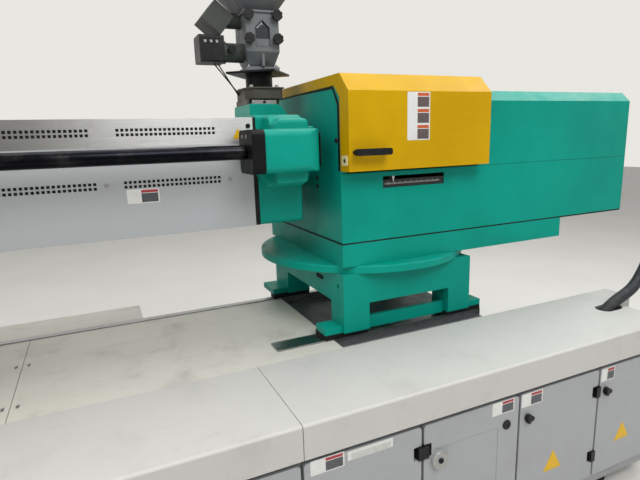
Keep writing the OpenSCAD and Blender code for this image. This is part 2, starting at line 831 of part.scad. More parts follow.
module clamp_cylinder() {
  color("gainsboro") difference() {
    union() {
      bar_x(end_x - cyl_l, end_x, axis_y, axis_z, cyl_r);
      bar_x(end_x - 50, end_x, axis_y, axis_z, cyl_r + 40);
      bar_x(ram_x0 - cyl_cap_t, end_x - 60, axis_y, axis_z, cyl_r - 25);
    }
    bar_x(ram_x0, end_x + 1, axis_y, axis_z, ram_r + 8);
  }
}

// The ejector bar with its coupling head inside the ram
module ejector() {
  x0 = moving_x - moving_t;
  color("silver") {
    bar_x(x0 - 190, moving_x - 60, axis_y, axis_z, ejector_r);
    bar_x(x0 - 220, x0 - 190, axis_y, axis_z, ejector_r + 12);
  }
}

// A sliding gate: frame, window pane and a bow handle on the outer side
module gate(y0, out) {
  x0 = fixed_x - fixed_t - gate_l;
  z0 = bed_top + 20;
  difference() {
    span([x0, y0, z0], [x0 + gate_l, y0 + gate_t, z0 + gate_h]);
    span([x0 + 130, y0 + gate_t / 2 - 8, z0 + 260],
      [x0 + gate_l - 130, y0 + gate_t / 2 + 8, z0 + gate_h - 130]);
  }
  span([x0 + 130, y0 + gate_t / 2 - 3, z0 + 260],
    [x0 + gate_l - 130, y0 + gate_t / 2 + 3, z0 + gate_h - 130]);
  yh = out < 0 ? y0 - 40 : y0 + gate_t;
  for (z = [z0 + 420, z0 + 640])
    bar_y_dir(yh, yh + 40, x0 + gate_l - 60, z, 10);
  yb = out < 0 ? y0 - 40 : y0 + gate_t + 40;
  translate([x0 + gate_l - 60, yb, z0 + 400]) cylinder(h = 260, r = 12);
}
module front_gate() { color("lightsteelblue") gate(axis_y - gate_y, -1); }
module rear_gate() { color("lightsteelblue") gate(rear_gate_y0, 1); }

// Sheet panels round the clamp cylinder, and the rails of the two gates
module clamp_covers() {
  x0 = left_x + 40;
  x1 = moving_x - moving_t - 40;
  y0 = strip_y + 1;
  y1 = rear_gate_y0 - 4;
  color(cover_grey) {
    span([x0, y0, frame_top], [x1, y0 + cover_t, cover_top]);
    span([x0, y1 - cover_t, frame_top], [x1, y1, cover_top]);
    span([x0, y0 + cover_t, cover_top - cover_t], [x1, y1 - cover_t, cover_top]);
    span([x0, y0 + cover_t, frame_top], [x0 + cover_t, y1 - cover_t, cover_top - cover_t]);
  }
  color("silver") for (r = [[axis_y - gate_y, bed_top], [rear_gate_y0, frame_top]])
    span([left_x + 300, r[0], r[1]], [fixed_x, r[0] + gate_t, bed_top + 20]);
}

// The operator's panel on its post
module operator_panel() {
  color(cover_grey) {
    translate([fixed_x - 120, front_y + 60, bed_top]) cylinder(h = 460, r = 24);
    difference() {
      translate([fixed_x - 300, front_y + 100, bed_top + 460]) rotate([90, 0, 0])
        linear_extrude(80) round_rect(360, 340, 16);
      span([fixed_x - 270, front_y + 19, bed_top + 580], [fixed_x + 30, front_y + 24, bed_top + 770]);
      bar_y_dir(front_y + 19, front_y + 60, fixed_x - 20, bed_top + 520, 11 + fit);
    }
  }
}

// The mushroom stop button
module stop_button() {
  color("red") {
    bar_y_dir(front_y - 10, front_y + 50, fixed_x - 20, bed_top + 520, 11);
    bar_y_dir(front_y - 22, front_y - 4, fixed_x - 20, bed_top + 520, 20);
  }
}

// The purge guard slides on two bars behind the fixed platen
module purge_guard() {
  x0 = fixed_x + nut_l + 10;
  w = guard_w2 + 22;
  color("gold") along_x(x0, x0 + purge_l) difference() {
    translate([axis_y - w - 3, 1127]) square([2 * w + 6, 451]);
    translate([axis_y - w, 1130]) square([2 * w, 445]);
    translate([axis_y - 120, 1120]) square([240, 20]);
  }
}

// Two rods with mounting flanges, along which the injection unit is drawn
module carriage_rods() {
  color([0.1, 0.1, 0.12]) both_sides() {
    bar_x(fixed_x, rod_x1, axis_y - rod_y, rod_zz, rod_r);
    bar_x(fixed_x, fixed_x + 30, axis_y - rod_y, rod_zz, rod_r + 20);
  }
}

// The table that carries the injection unit: top plate, webs, four legs and foot plates
module pedestal() {
  x1 = unit_x + ped_l;
  color(teal) difference() {
    union() {
      span([unit_x, unit_y, ped_top - 30], [x1, ped_y1, ped_top]);
      span([unit_x, unit_y, web_z], [x1, unit_y + web_t, ped_top - 30]);
      span([unit_x, ped_y1 - web_t, web_z], [x1, ped_y1, ped_top - 30]);
      span([unit_x, unit_y + web_t, web_z], [unit_x + web_t, ped_y1 - web_t, ped_top - 30]);
      span([x1 - web_t, unit_y + web_t, web_z], [x1, ped_y1 - web_t, ped_top - 30]);
      for (x = [unit_x, x1 - leg_w]) {
        span([x, unit_y, foot_z], [x + leg_w, unit_y + leg_d, ped_top - 30]);
        span([x, ped_y1 - rear_leg_d, foot_z], [x + leg_w, ped_y1, ped_top - 30]);
      }
      span([unit_x + leg_w, unit_y + 34, foot_z - 10], [x1 - leg_w, unit_y + 54, foot_z + 40]);
      for (y = [[unit_y, leg_d], [ped_y1 - rear_leg_d, rear_leg_d]]) {
        span([unit_x - foot_out, y[0] + 14, foot_z],
          [unit_x + leg_w, y[0] + y[1] - 10, foot_z + foot_plate_t]);
        span([x1 - leg_w, y[0] + 14, foot_z], [x1 + foot_out, y[0] + y[1] - 10, foot_z + foot_plate_t]);
      }
    }
    translate([turn_x, axis_y, ped_top - 31]) cylinder(h = 40, r = 60 + play);
    bar_x(unit_x - 1, unit_x + web_t + 1, unit_y + 46, 900, 9);
  }
}

// Black pads between the foot plates and the rails
module slide_pads() {
  color("black") for (x = [unit_x - foot_out, unit_x + ped_l - leg_w]) {
    span([x, front_rail_y - front_rail_w / 2 - 6, bed_top],
      [x + leg_w + foot_out, front_rail_y + front_rail_w / 2 + 6, foot_z]);
    span([x, rear_rail_y - rear_rail_w / 2 - 8, bed_top],
      [x + leg_w + foot_out, rear_rail_y + rear_rail_w / 2 + 8, foot_z]);
  }
}

// The round turntable with an eased top edge and its centre spigot
module turntable() {
  h = base_z0 - ped_top;
  color(teal) translate([turn_x, axis_y, ped_top]) {
    rotate_extrude($fn = 96) difference() {
      square([turn_r, h]);
      translate([turn_r - 6, h - 6]) difference() {
        square(7);
        circle(6);
      }
    }
    translate([0, 0, -30]) cylinder(h = 30, r = 60);
  }
}

// The unit's base under the housing, and the floor plate that leaves a dark joint
module unit_base() {
  color(teal) span([unit_x, unit_y, base_z0], [unit_x + base_l, unit_y1, base_z1]);
  color("black") span([unit_x + panel_t, unit_y + panel_t, base_z1],
    [unit_x1 - panel_t, unit_y1 - panel_t, base_z1 + floor_t]);
}

// The outline of the end plate in Y and Z, inside the hood's rim
module end_outline() {
  y0 = unit_y + panel_t;
  y1 = unit_y1 - panel_t;
  z1 = hood_top - hood_rim;
  c = hood_chamfer - 20;
  z0 = base_z1 + floor_t;
  polygon([[y0, z0], [y1, z0], [y1, z1], [y0 + c, z1], [y0, z1 - c]]);
}

// The end plate, bored for the barrel's flange
module end_plate() {
  color(teal) difference() {
    along_x(unit_x, unit_x + end_plate_t) end_outline();
    bar_x(unit_x - 1, unit_x + 40, axis_y, axis_z, 80 + play);
  }
}

// The front panel with the cut-out of the stroke scale
module front_panel() {
  color(teal) difference() {
    span([unit_x, unit_y, unit_z], [unit_x1, unit_y + panel_t, seam_z]);
    span([window_x0, unit_y - 1, window_z0], [window_x1, unit_y + 4, window_z1]);
    span([unit_x - 1, unit_y - 1, seam_z - 2], [unit_x1 + 1, unit_y + 1.5, seam_z + 1]);
  }
  color("black") span([window_x0 - 6, unit_y + panel_t, window_z0 - 6],
    [window_x1 + 6, unit_y + panel_t + 2, window_z1 - 14]);
}

// The bent upper cover right of the hood
module upper_section(inset) {
  c = unit_chamfer;
  y0 = unit_y + inset;
  y1 = unit_y1 - inset;
  z1 = unit_top - inset;
  k = inset * 0.42;
  polygon([[y0, seam_z], [y1, seam_z], [y1, z1 - c + k], [y1 - c + k, z1],
    [y0 + c - k, z1], [y0, z1 - c + k]]);
}
module upper_cover() {
  color(teal) along_x(hood_x1 + 3, unit_x1) difference() {
    upper_section(0);
    upper_section(panel_t);
    translate([unit_y + panel_t, seam_z - 1]) square([unit_w - 2 * panel_t, 10]);
  }
}

// The rear wall with its raised part and the hood's hinge pins, and the right end wall
module rear_panels() {
  y0 = unit_y1 - panel_t;
  hy = unit_y1 + 12;
  hz = hood_top - 12;
  color("silver") for (x = [unit_x + 100, hood_x1 - 160]) {
    bar_x(x - 16, x + 76, hy, hz, 5);
    for (a = [x - 16, x + 61]) {
      bar_x(a, a + 15, hy, hz, 11);
      span([a, unit_y1 - 1, hz - 50], [a + 15, hy + 6, hz]);
    }
  }
  color(teal) {
    along_y(y0, unit_y1) polygon([[unit_x, unit_z], [unit_x1, unit_z], [unit_x1, seam_z],
      [hood_x1 + 2, seam_z], [hood_x1 + 2, hood_top - hood_t - 1], [unit_x, hood_top - hood_t - 1]]);
    along_x(unit_x1 - panel_t, unit_x1) polygon([
      [unit_y + panel_t, base_z1 + floor_t], [y0, base_z1 + floor_t],
      [y0, seam_z], [unit_y + panel_t, seam_z]]);
    along_x(unit_x1 - panel_t, unit_x1) intersection() {
      upper_section(panel_t);
      translate([unit_y, seam_z]) square([unit_w, unit_h]);
    }
  }
}

// The section of the hood in Y and Z, drawn smaller by an inset
module hood_section(inset) {
  c = hood_chamfer;
  k = inset * 0.42;
  y0 = hood_y + inset;
  y1 = unit_y1 - 8;
  z1 = hood_top - inset;
  polygon([[y0, hood_bottom], [y1, hood_bottom], [y1, z1], [y0 + c - k, z1], [y0, z1 - c + k]]);
}

// The yellow hood: bent shell, end rim at the left and hinge knuckles at the rear
module hood() {
  hy = unit_y1 + 12;
  hz = hood_top - 12;
  color([0.84, 0.68, 0]) difference() {
    union() {
      along_x(unit_x, hood_x1) difference() {
        hood_section(0);
        hood_section(hood_t);
        translate([unit_y1 - 40, hood_bottom - 1]) square([60, hood_h - hood_z0 - hood_t + 1]);
      }
      along_x(unit_x, unit_x + 16) difference() {
        hood_section(hood_t);
        translate([unit_y + 1, hood_bottom - 1]) square([unit_w, 200]);
        polygon([[unit_y + 1, hood_bottom + 100], [unit_y1, hood_bottom + 100],
          [unit_y1, hood_top - hood_rim + 2], [unit_y + hood_chamfer - 20, hood_top - hood_rim + 2],
          [unit_y + 1, hood_top - hood_rim - hood_chamfer + 22]]);
      }
      along_x(hood_x1 - 3, hood_x1) difference() {
        hood_section(hood_t);
        hood_section(24);
        translate([unit_y1 - 40, hood_bottom - 1]) square([60, hood_h - hood_z0 - 30]);
      }
      for (x = [unit_x + 100, hood_x1 - 160]) {
        bar_x(x, x + 60, hy, hz, 11);
        span([x, unit_y1 - 20, hood_top - hood_t], [x + 60, hy, hood_top]);
      }
    }
    for (x = [unit_x + 100, hood_x1 - 160]) bar_x(x - 1, x + 61, hy, hz, 5 + fit);
    span([unit_x - 1, unit_y1 - 7.5, hood_top - 40], [hood_x1 + 1, unit_y1 + 1, hood_top - hood_t - 0.5]);
  }
}

// The black bow handle on the hood
module hood_handle() {
  z = hood_bottom + 68;
  color("black") {
    for (x = [unit_x + 22, unit_x + 140]) bar_y_dir(hood_y - 30, hood_y, x, z, 8);
    along_y(hood_y - 42, hood_y - 24) translate([unit_x + 9, z - 12]) round_rect(144, 24, 9);
  }
}

// A cylinder block, rounded on all its outer edges, most of all on the right front one
module cylinder_block() {
  z0 = rod_zz - block_h / 2;
  difference() {
    intersection() {
      along_x(block_x0, block_x1) translate([block_y, z0]) round_rect(block_d + 60, block_h, block_r);
      along_y(block_y, guard_y0 + 40) translate([block_x0 - 60, z0])
        round_rect(block_x1 - block_x0 + 60, block_h, block_r);
      translate([block_x0 - 80, block_y, z0 - 1]) linear_extrude(block_h + 2)
        round_rect(block_x1 - block_x0 + 80, block_d + 90, 60);
    }
    span([block_x0 - 1, guard_y0, z0 - 1], [cast_x0, guard_y0 + 50, z0 + block_h + 1]);
  }
}

// A rib drawn in X and Z, its front edges rounded along the machine
module rib(y0, z0, z1, r) {
  intersection() {
    along_y(y0, guard_y0 + 10) children();
    along_x(block_x0 - 10, block_x1 + 10) translate([y0, z0]) round_rect(guard_y0 + 40 - y0, z1 - z0, r);
  }
}

// The stepped ribs over and under a cylinder block
module block_ribs() {
  top = rod_zz + block_h / 2;
  low = rod_zz - block_h / 2;
  rib(block_y + 105, top - 60, top + 53, 40)
    translate([982, top - 80]) round_rect(128, 133, 16);
  rib(block_y + 55, top - 30, top + 37, 16) {
    translate([1002, top - 60]) round_rect(107, 97, 18);
    polygon([[978, top - 30], [985, top + 16], [1004, top + 37], [1030, top + 37], [1030, top - 30]]);
  }
  rib(block_y + 75, top - 20, top + 9, 6) translate([1090, top - 20]) round_rect(50, 29, 8);
  rib(block_y + 52, low - 41, low + 30, 9) translate([981, low - 41]) round_rect(121, 60, 17);
  rib(block_y + 128, low - 58, low + 30, 12)
    polygon([[948, low + 20], [948, low - 10], [976, low - 58], [1112, low - 58], [1140, low - 20],
      [1140, low + 20]]);
}

// The cast feed housing with its tower, cylinder blocks, guard spigot and bores
module feed_casting() {
  color(teal) difference() {
    union() {
      along_x(cast_x0, cast_x1) translate([guard_y0, guard_z0]) round_rect(2 * guard_w2, 405, 14);
      span([cast_x0 - 34, guard_y0 + guard_t, guard_z0 + guard_t],
        [cast_x0, guard_y1 - guard_t, guard_z1 - guard_t]);
      along_y(axis_y - 110, axis_y + 110) polygon([[tower_x0, 1540], [cast_x1, 1540], [cast_x1, 1570],
        [tower_x0 + 129, tower_z - 9], [tower_x0 + 109, tower_z], [tower_x0 + 2, tower_z],
        [tower_x0, tower_z - 30]]);
      bar_x(cast_x1 - 1, unit_x, axis_y, axis_z, 90);
      both_sides() cylinder_block();
      both_sides() block_ribs();
    }
    bar_x(block_x0 - 100, unit_x + 1, axis_y, axis_z, barrel_r + play);
    both_sides() bar_x(block_x0 - 1, block_x1 - 5, axis_y - rod_y, rod_zz, rod_r + fit);
    translate([feed_x, axis_y, axis_z + barrel_r - 5]) cylinder(h = 300, r = duct_r);
  }
}

// Black end caps through which the carriage rods enter the blocks
module cylinder_caps() {
  color([0.08, 0.08, 0.09]) both_sides() difference() {
    along_x(block_x0 - cap_l, block_x0) translate([block_y - 4, rod_zz - block_h / 2])
      round_rect(block_d - 33, block_h, 20);
    bar_x(block_x0 - cap_l - 1, block_x0 + 1, axis_y - rod_y, rod_zz, rod_r + fit);
  }
}

// The barrel with its feed hole and rear flange
module barrel() {
  color("dimgray") difference() {
    union() {
      bar_x(barrel_x0, barrel_x1, axis_y, axis_z, barrel_r);
      bar_x(unit_x, unit_x + end_plate_t, axis_y, axis_z, 80);
    }
    bar_x(barrel_x0 - 1, barrel_x1 + 1, axis_y, axis_z, bore_r);
    translate([feed_x, axis_y, axis_z + bore_r - 8]) cylinder(h = 100, r = duct_r);
  }
}

// The nozzle with a round tip and a stepped bore
module nozzle() {
  color("silver") translate([barrel_x0, axis_y, axis_z]) rotate([0, -90, 0]) rotate_extrude()
    polygon([[4, 30], [bore_r, 0], [barrel_r, 0], [barrel_r, 26], [32, 34], [32, nozzle_l - 30],
      [16, nozzle_l - 6], [8, nozzle_l], [4, nozzle_l]]);
}

// Heater bands with their terminal boxes
module heater_bands() {
  color("silver") for (i = [0:heaters - 1]) {
    x = barrel_x0 + 30 + i * heater_pitch;
    difference() {
      union() {
        bar_x(x, x + heater_l, axis_y, axis_z, heater_r);
        span([x + 30, axis_y - 14, axis_z + heater_r - 8], [x + 80, axis_y + 14, axis_z + heater_r + 12]);
      }
      bar_x(x - 1, x + heater_l + 1, axis_y, axis_z, barrel_r + 0.1);
    }
  }
}

// Two rows of square vent holes through the front or the rear sheet
module vents(y0, x, z) {
  for (i = [0:vent_n - 1], k = [0, 1])
    span([x + i * vent_pitch, y0 - 1, z - k * 15 - vent], [x + i * vent_pitch + vent, y0 + 3, z - k * 15]);
}

// The lower barrel guard, a U of painted sheet
module guard_lower() {
  color("lightgray") difference() {
    along_x(guard_x0, cast_x0 - 18) difference() {
      translate([guard_y0, guard_z0]) square([2 * guard_w2, guard_seam_z - guard_z0]);
      translate([guard_y0 + guard_t, guard_z0 + guard_t]) square([2 * guard_w2 - 2 * guard_t, 400]);
    }
    for (x = lower_vent_x) {
      vents(guard_y0, x, lower_vent_z);
      vents(guard_y1 - guard_t, x, lower_vent_z);
    }
  }
}

// The upper barrel guard, an inverted U of brushed stainless sheet
module guard_upper() {
  color("gainsboro") difference() {
    along_x(guard_x0, cast_x0 - 11) difference() {
      translate([guard_y0, guard_seam_z]) square([2 * guard_w2, guard_z1 - guard_seam_z]);
      translate([guard_y0 + guard_t, guard_seam_z - 400]) square([2 * guard_w2 - 2 * guard_t,
        400 + guard_z1 - guard_seam_z - guard_t]);
    }
    for (x = upper_vent_x) {
      vents(guard_y0, x, upper_vent_z);
      vents(guard_y1 - guard_t, x, upper_vent_z);
    }
  }
}

// The screw: a core with a helical flight, a plain shank and a tip
module screw() {
  x0 = barrel_x0 + 20;
  len_f = feed_x + 60 - x0;
  turns = len_f / flight_pitch;
  color("silver") {
    translate([x0, axis_y, axis_z]) rotate([0, 90, 0]) linear_extrude(len_f, twist = -360 * turns,
      slices = ceil(turns * 8), $fn = 4) translate([10, -4]) square([bore_r - 11, 8]);
    bar_x(x0 - 1, x0 + len_f + 1, axis_y, axis_z, 17);
    bar_x(x0 + len_f, head_x + 40, axis_y, axis_z, bore_r - fit);
    translate([x0, axis_y, axis_z]) rotate([0, -90, 0]) cylinder(h = 18, r1 = 17, r2 = 4);
  }
}

// The crosshead with injection rods, screw drive motor and the pointer's arm
module crosshead() {
  x1 = head_x + head_t;
  color("dimgray") difference() {
    along_x(head_x, x1) translate([axis_y - 260, axis_z - 200]) round_rect(520, 400, 40);
    for (s = [-1, 1]) bar_x(head_x - 1, x1 + 1, axis_y + s * bar_y, axis_z, bar_r + fit);
    bar_x(head_x - 1, head_x + 40, axis_y, axis_z, bore_r + play);
  }
  color("silver") for (s = [-1, 1])
    bar_x(x1, rear_plate_x + rear_plate_t + 60, axis_y, axis_z + s * inj_z, inj_rod_r);
  color("navy") {
    bar_x(x1, x1 + 220, axis_y, axis_z, motor_r - 10);
    bar_x(x1, x1 + 24, axis_y, axis_z, motor_r);
  }
  color("white") {
    span([head_x - 4, unit_y + 20, window_z1 - 34], [head_x, axis_y - 180, window_z1 - 4]);
    span([pointer_x - 4, unit_y + panel_t + 3, window_z1 - 12], [pointer_x, unit_y + 20, window_z1 - 4]);
    span([head_x - 4, unit_y + 14, window_z1 - 12], [pointer_x, unit_y + 20, window_z1 - 4]);
  }
}

// Guide bars, the rear plate that stands on the floor plate, and the two injection cylinders
module injection_frame() {
  x0 = unit_x + end_plate_t;
  x1 = rear_plate_x + rear_plate_t;
  color("silver") for (s = [-1, 1])
    bar_x(x0, rear_plate_x, axis_y + s * bar_y, axis_z, bar_r);
  color("dimgray") difference() {
    span([rear_plate_x, axis_y - 280, base_z1 + floor_t],
      [rear_plate_x + rear_plate_t, axis_y + 280, axis_z + 230]);
    for (s = [-1, 1])
      bar_x(rear_plate_x - 1, rear_plate_x + rear_plate_t + 1, axis_y, axis_z + s * inj_z, inj_rod_r + fit);
    bar_x(rear_plate_x - 1, rear_plate_x + rear_plate_t + 1, axis_y, axis_z, motor_r - 10 + 5);
  }
  color("dimgray") for (s = [-1, 1]) difference() {
    bar_x(x1, x1 + inj_cyl_l, axis_y, axis_z + s * inj_z, inj_cyl_r);
    bar_x(x1 - 1, x1 + inj_cyl_l - 20, axis_y, axis_z + s * inj_z, inj_rod_r + 15);
  }
}

// The clamp block on the feed tower, with lips that leave a slot for the shut-off plate
module clamp_block() {
  x0 = tower_x0;
  x1 = x0 + clamp_w;
  y0 = axis_y - clamp_d / 2;
  y1 = y0 + clamp_d;
  color([0.42, 0.4, 0.36]) difference() {
    union() {
      translate([0, 0, clamp_z]) linear_extrude(clamp_h - 6) polygon([[x0, y0 + 46], [x0 + 30, y0],
        [x1 - 8, y0], [x1, y0 + 8], [x1, y1 - 8], [x1 - 8, y1], [x0 + 30, y1], [x0, y1 - 46]]);
      translate([0, 0, clamp_z + clamp_h - 6]) linear_extrude(6) polygon([[x0 - 5, y0 + 44],
        [x0 + 28, y0 - 5], [x1 + 3, y0 - 5], [x1 + 3, y1 + 5], [x0 + 28, y1 + 5], [x0 - 5, y1 - 44]]);
      span([x0 + 2, axis_y - 80, tower_z], [x0 + 11, axis_y + 80, clamp_z]);
      span([x0 + 115, axis_y - 80, tower_z], [x0 + 133, axis_y + 80, clamp_z]);
    }
    translate([feed_x, axis_y, tower_z - 1]) cylinder(h = clamp_h + 40, r = duct_r);
  }
}

// The shut-off plate slides between the tower and the clamp block
module shutoff_plate() {
  color("silver") difference() {
    span([tower_x0 + 14, axis_y - 104, tower_z], [tower_x0 + 113, axis_y + 90, tower_z + slide_t]);
    translate([feed_x, axis_y, tower_z - 1]) cylinder(h = 40, r = duct_r);
  }
}

// The black neck with the square flange plate on top
module feed_neck() {
  color([0.1, 0.1, 0.1]) difference() {
    union() {
      translate([feed_x, axis_y, neck_z]) cylinder(h = neck_h, r = neck_r);
      translate([feed_x, axis_y, neck_z]) cylinder(h = 6, r = neck_r + 6);
    }
    translate([feed_x, axis_y, neck_z - 1]) cylinder(h = neck_h + 2, r = duct_r);
  }
  color("dimgray") difference() {
    translate([feed_x, axis_y, flange_z]) rotate([0, 0, flange_turn])
      translate([-flange_w / 2, -flange_w / 2, 0]) cube([flange_w, flange_w, flange_t]);
    translate([feed_x, axis_y, flange_z - 1]) cylinder(h = flange_t + 2, r = duct_r);
  }
}

// Places its children on the stack's axis, turned with the neckpiece
module on_stack(z) {
  translate([feed_x, axis_y, z]) rotate([0, 0, piece_turn]) children();
}

// The cast neckpiece: base plate, ribbed tapered foot and straight body with a sight window
module neckpiece() {
  color("gray") difference() {
    on_stack(piece_z) {
      translate([-66, -80, 0]) cube([132, 160, 14]);
      hull() {
        translate([-48, -62, 14]) cube([96, 124, 2]);
        translate([-piece_w / 2, -piece_d / 2, taper_h - 2]) cube([piece_w, piece_d, 2]);
      }
      translate([-5, -piece_d / 2 + 4, 14]) cube([10, piece_d - 8, taper_h - 14]);
      translate([-piece_w / 2, -piece_d / 2, taper_h]) cube([piece_w, piece_d, piece_h - 8]);
      translate([-piece_w / 2 - 6, -piece_d / 2 - 6, taper_h + piece_h - 8])
        cube([piece_w + 12, piece_d + 12, 8]);
    }
    on_stack(piece_z) {
      translate([0, 0, -1]) cylinder(h = piece_h + taper_h + 2, r = duct_r);
      translate([0, -piece_d / 2 + 7, taper_h]) rotate([90, 0, 0]) linear_extrude(10)
        polygon([[-29, 16], [29, 16], [29, 85], [0, 112], [-29, 85]]);
    }
  }
}

// A star knob, seven-lobed, standing on its shaft at the origin
module star_knob(r = 20) {
  translate([0, 0, 10]) difference() {
    cylinder(h = 16, r = r);
    for (a = [0:360 / 7:359])
      translate([(r + 2) * cos(a), (r + 2) * sin(a), -1]) cylinder(h = 18, r = 4.5);
  }
  cylinder(h = 11, r = 7);
}

// Four star knobs on the neckpiece's window door and one on the feed tube
module star_knobs() {
  color("black") {
    on_stack(body_z) for (x = [-56, 56], z = [42, 127])
      translate([x, -piece_d / 2, z]) rotate([90, 0, 0]) star_knob();
    difference() {
      translate([drive_x1 + 30, tube_y - tube_r + 4, tube_z + 6]) rotate([90, 0, 0]) star_knob(16);
      bar_x(drive_x1, drive_x1 + 94, tube_y, tube_z, tube_r + fit);
    }
  }
}

// The feeder: dosing tube and the tilted dosing box with its boss
module feeder() {
  color("gray") difference() {
    union() {
      bar_x(drive_x1, drive_x1 + 94, tube_y, tube_z, tube_r);
      bar_x(drive_x1, drive_x1 + 12, tube_y, tube_z, tube_r + 6);
      bar_x(drive_x1 + 24, drive_x1 + 94, tube_y + 30, box_z - 2, 30);
      translate([box_x, tube_y - 12, box_z]) rotate([0, box_tilt, 0])
        translate([-46, 0, -44]) cube([92, 140, 88]);
    }
    on_stack(body_z) translate([-piece_w / 2, -200, -200]) cube([300, 500, 200 + piece_h - 8]);
    on_stack(hopper_z) translate([-piece_w / 2 - 12, -200, -8 - fit]) cube([300, 500, 400]);
  }
}

// A straight round stay from p to q
module stay(p, q, r) {
  v = q - p;
  translate(p) rotate([0, acos(v[2] / norm(v)), atan2(v[1], v[0])]) cylinder(h = norm(v), r = r);
}

// The black drive box at the end of the dosing tube, on two thin stays from the clamp block
module feeder_drive() {
  color("black") along_x(drive_x0, drive_x1) translate([tube_y - 52, drive_z]) round_rect(100, 98, 8);
  color("black") difference() {
    union() {
      stay([tower_x0 - 106, tube_y - 2, drive_z + 3], [tower_x0 + 4, tube_y + 34, clamp_z + 20], 2.5);
      stay([tower_x0 - 89, tube_y + 2, drive_z + 3], [tower_x0 + 4, tube_y + 50, clamp_z + 18], 2.5);
    }
    span([tower_x0, tube_y, clamp_z], [tower_x0 + 20, tube_y + 80, clamp_z + 44]);
  }
}

// The main hopper: a tapered square funnel under a box
module hopper() {
  w = hopper_w;
  t = hopper_t;
  f = 130;
  color("darkslategray") on_stack(hopper_z) difference() {
    union() {
      hull() {
        translate([-f / 2, -f / 2, 0]) cube([f, f, 1]);
        translate([-w / 2, -w / 2, cone_h - 1]) cube([w, w, 1]);
      }
      translate([-w / 2, -w / 2, cone_h]) cube([w, w, hopper_h]);
    }
    hull() {
      translate([-f / 2 + t, -f / 2 + t, -1]) cube([f - 2 * t, f - 2 * t, 2]);
      translate([-w / 2 + t, -w / 2 + t, cone_h - 1]) cube([w - 2 * t, w - 2 * t, 1]);
    }
    translate([-w / 2 + t, -w / 2 + t, cone_h - 0.5]) cube([w - 2 * t, w - 2 * t, hopper_h + 1]);
  }
  color("silver") on_stack(hopper_z1) translate([-w / 2 - 25, 0, -12]) {
    translate([12, -60, 0]) rotate([-90, 0, 0]) cylinder(h = 120, r = 4);
    for (y = [-60, 46]) translate([8, y, -20]) cube([17, 14, 24]);
  }
}

// The hopper's lid with its hinge knuckle
module hopper_lid() {
  w = hopper_w + 8;
  color("dimgray") on_stack(hopper_z1) difference() {
    union() {
      translate([-w / 2, -w / 2, fit]) cube([w, w, 4]);
      translate([-w / 2 - 14, -40, -4]) cube([20, 80, 8]);
      translate([-hopper_w / 2 - 13, -40, -12]) rotate([-90, 0, 0]) cylinder(h = 80, r = 9);
    }
    translate([-hopper_w / 2 - 13, -41, -12]) rotate([-90, 0, 0]) cylinder(h = 82, r = 4 + fit);
    translate([-hopper_w / 2 - 0.5, -w / 2 - 1, -30]) cube([w, w + 2, 30 + fit]);
  }
}

bed_frame();
foot_pads();
cabinet_body();
switchgear();
front_covers();
deck_panels();
guide_rails();
door_hinges();
door_1();
door_2();
door_3();
door_4();
door_5();
door_knob_4();
door_knob_5();
conduit();
conduit_glands();
fixed_platen();
moving_platen();
clamp_ram();
end_platen();
tie_bars();
clamp_cylinder();
ejector();
front_gate();
rear_gate();
clamp_covers();
operator_panel();
stop_button();
purge_guard();
carriage_rods();
pedestal();
slide_pads();
turntable();
unit_base();
end_plate();
front_panel();
upper_cover();
rear_panels();
hood();
hood_handle();
feed_casting();
cylinder_caps();
barrel();
nozzle();
heater_bands();
guard_lower();
guard_upper();
screw();
crosshead();
injection_frame();
clamp_block();
shutoff_plate();
feed_neck();
neckpiece();
star_knobs();
feeder();
feeder_drive();
hopper();
hopper_lid();
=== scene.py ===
"""Dresses the injection moulding machine with finishes, plates, seals, screws, a hose, lights and a camera."""

import logging
import math
from dataclasses import dataclass
from enum import Enum

import bmesh
import bpy
import numpy as np
from mathutils import Matrix, Vector

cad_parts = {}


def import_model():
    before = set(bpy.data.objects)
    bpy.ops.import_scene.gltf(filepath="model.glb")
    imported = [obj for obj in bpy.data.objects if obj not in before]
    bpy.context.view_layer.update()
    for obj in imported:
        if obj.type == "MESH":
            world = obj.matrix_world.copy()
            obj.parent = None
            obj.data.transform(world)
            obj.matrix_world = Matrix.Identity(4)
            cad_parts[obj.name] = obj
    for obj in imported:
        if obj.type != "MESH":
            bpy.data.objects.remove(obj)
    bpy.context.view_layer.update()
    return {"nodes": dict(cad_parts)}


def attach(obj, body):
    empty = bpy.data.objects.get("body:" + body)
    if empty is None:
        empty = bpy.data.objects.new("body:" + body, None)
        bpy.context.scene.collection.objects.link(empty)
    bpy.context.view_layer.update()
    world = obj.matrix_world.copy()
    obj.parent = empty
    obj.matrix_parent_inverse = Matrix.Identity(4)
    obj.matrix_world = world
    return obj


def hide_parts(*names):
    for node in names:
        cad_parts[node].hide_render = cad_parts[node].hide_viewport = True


LOG = logging.getLogger("machine")
MM = 0.001
FOIL = 0.0006
SHARP_DEGREES = 40.0
CORNER_POINTS = 6

FRONT = ((1, 0, 0), (0, 0, 1))
TOP = ((1, 0, 0), (0, 1, 0))
LEFT = ((0, -1, 0), (0, 0, 1))
RIGHT = ((0, 1, 0), (0, 0, 1))

BLACK = "moulded_black_plastic"
PLATED = "plated_fasteners"
# Real rubber, and also painted shade in the base joint, behind the guard vents and at the casting's right
# ends.
RUBBER_AND_SHADE = "black_rubber"

DUST = "#c9c7bf"
SCUFF = "#6f6e6a"
BARE_RIM = "#e9e8e3"
HAND_GREASE = "#777672"
ROOM_SHADE = "#565553"
RUBBED_FOIL = "#b9b8b2"

Pair = tuple[float, float]
Point = tuple[float, float, float]
Axes = tuple[Point, Point]
Colour = tuple[float, float, float, float]
Socket = bpy.types.NodeSocket
Materials = dict[str, bpy.types.Material]


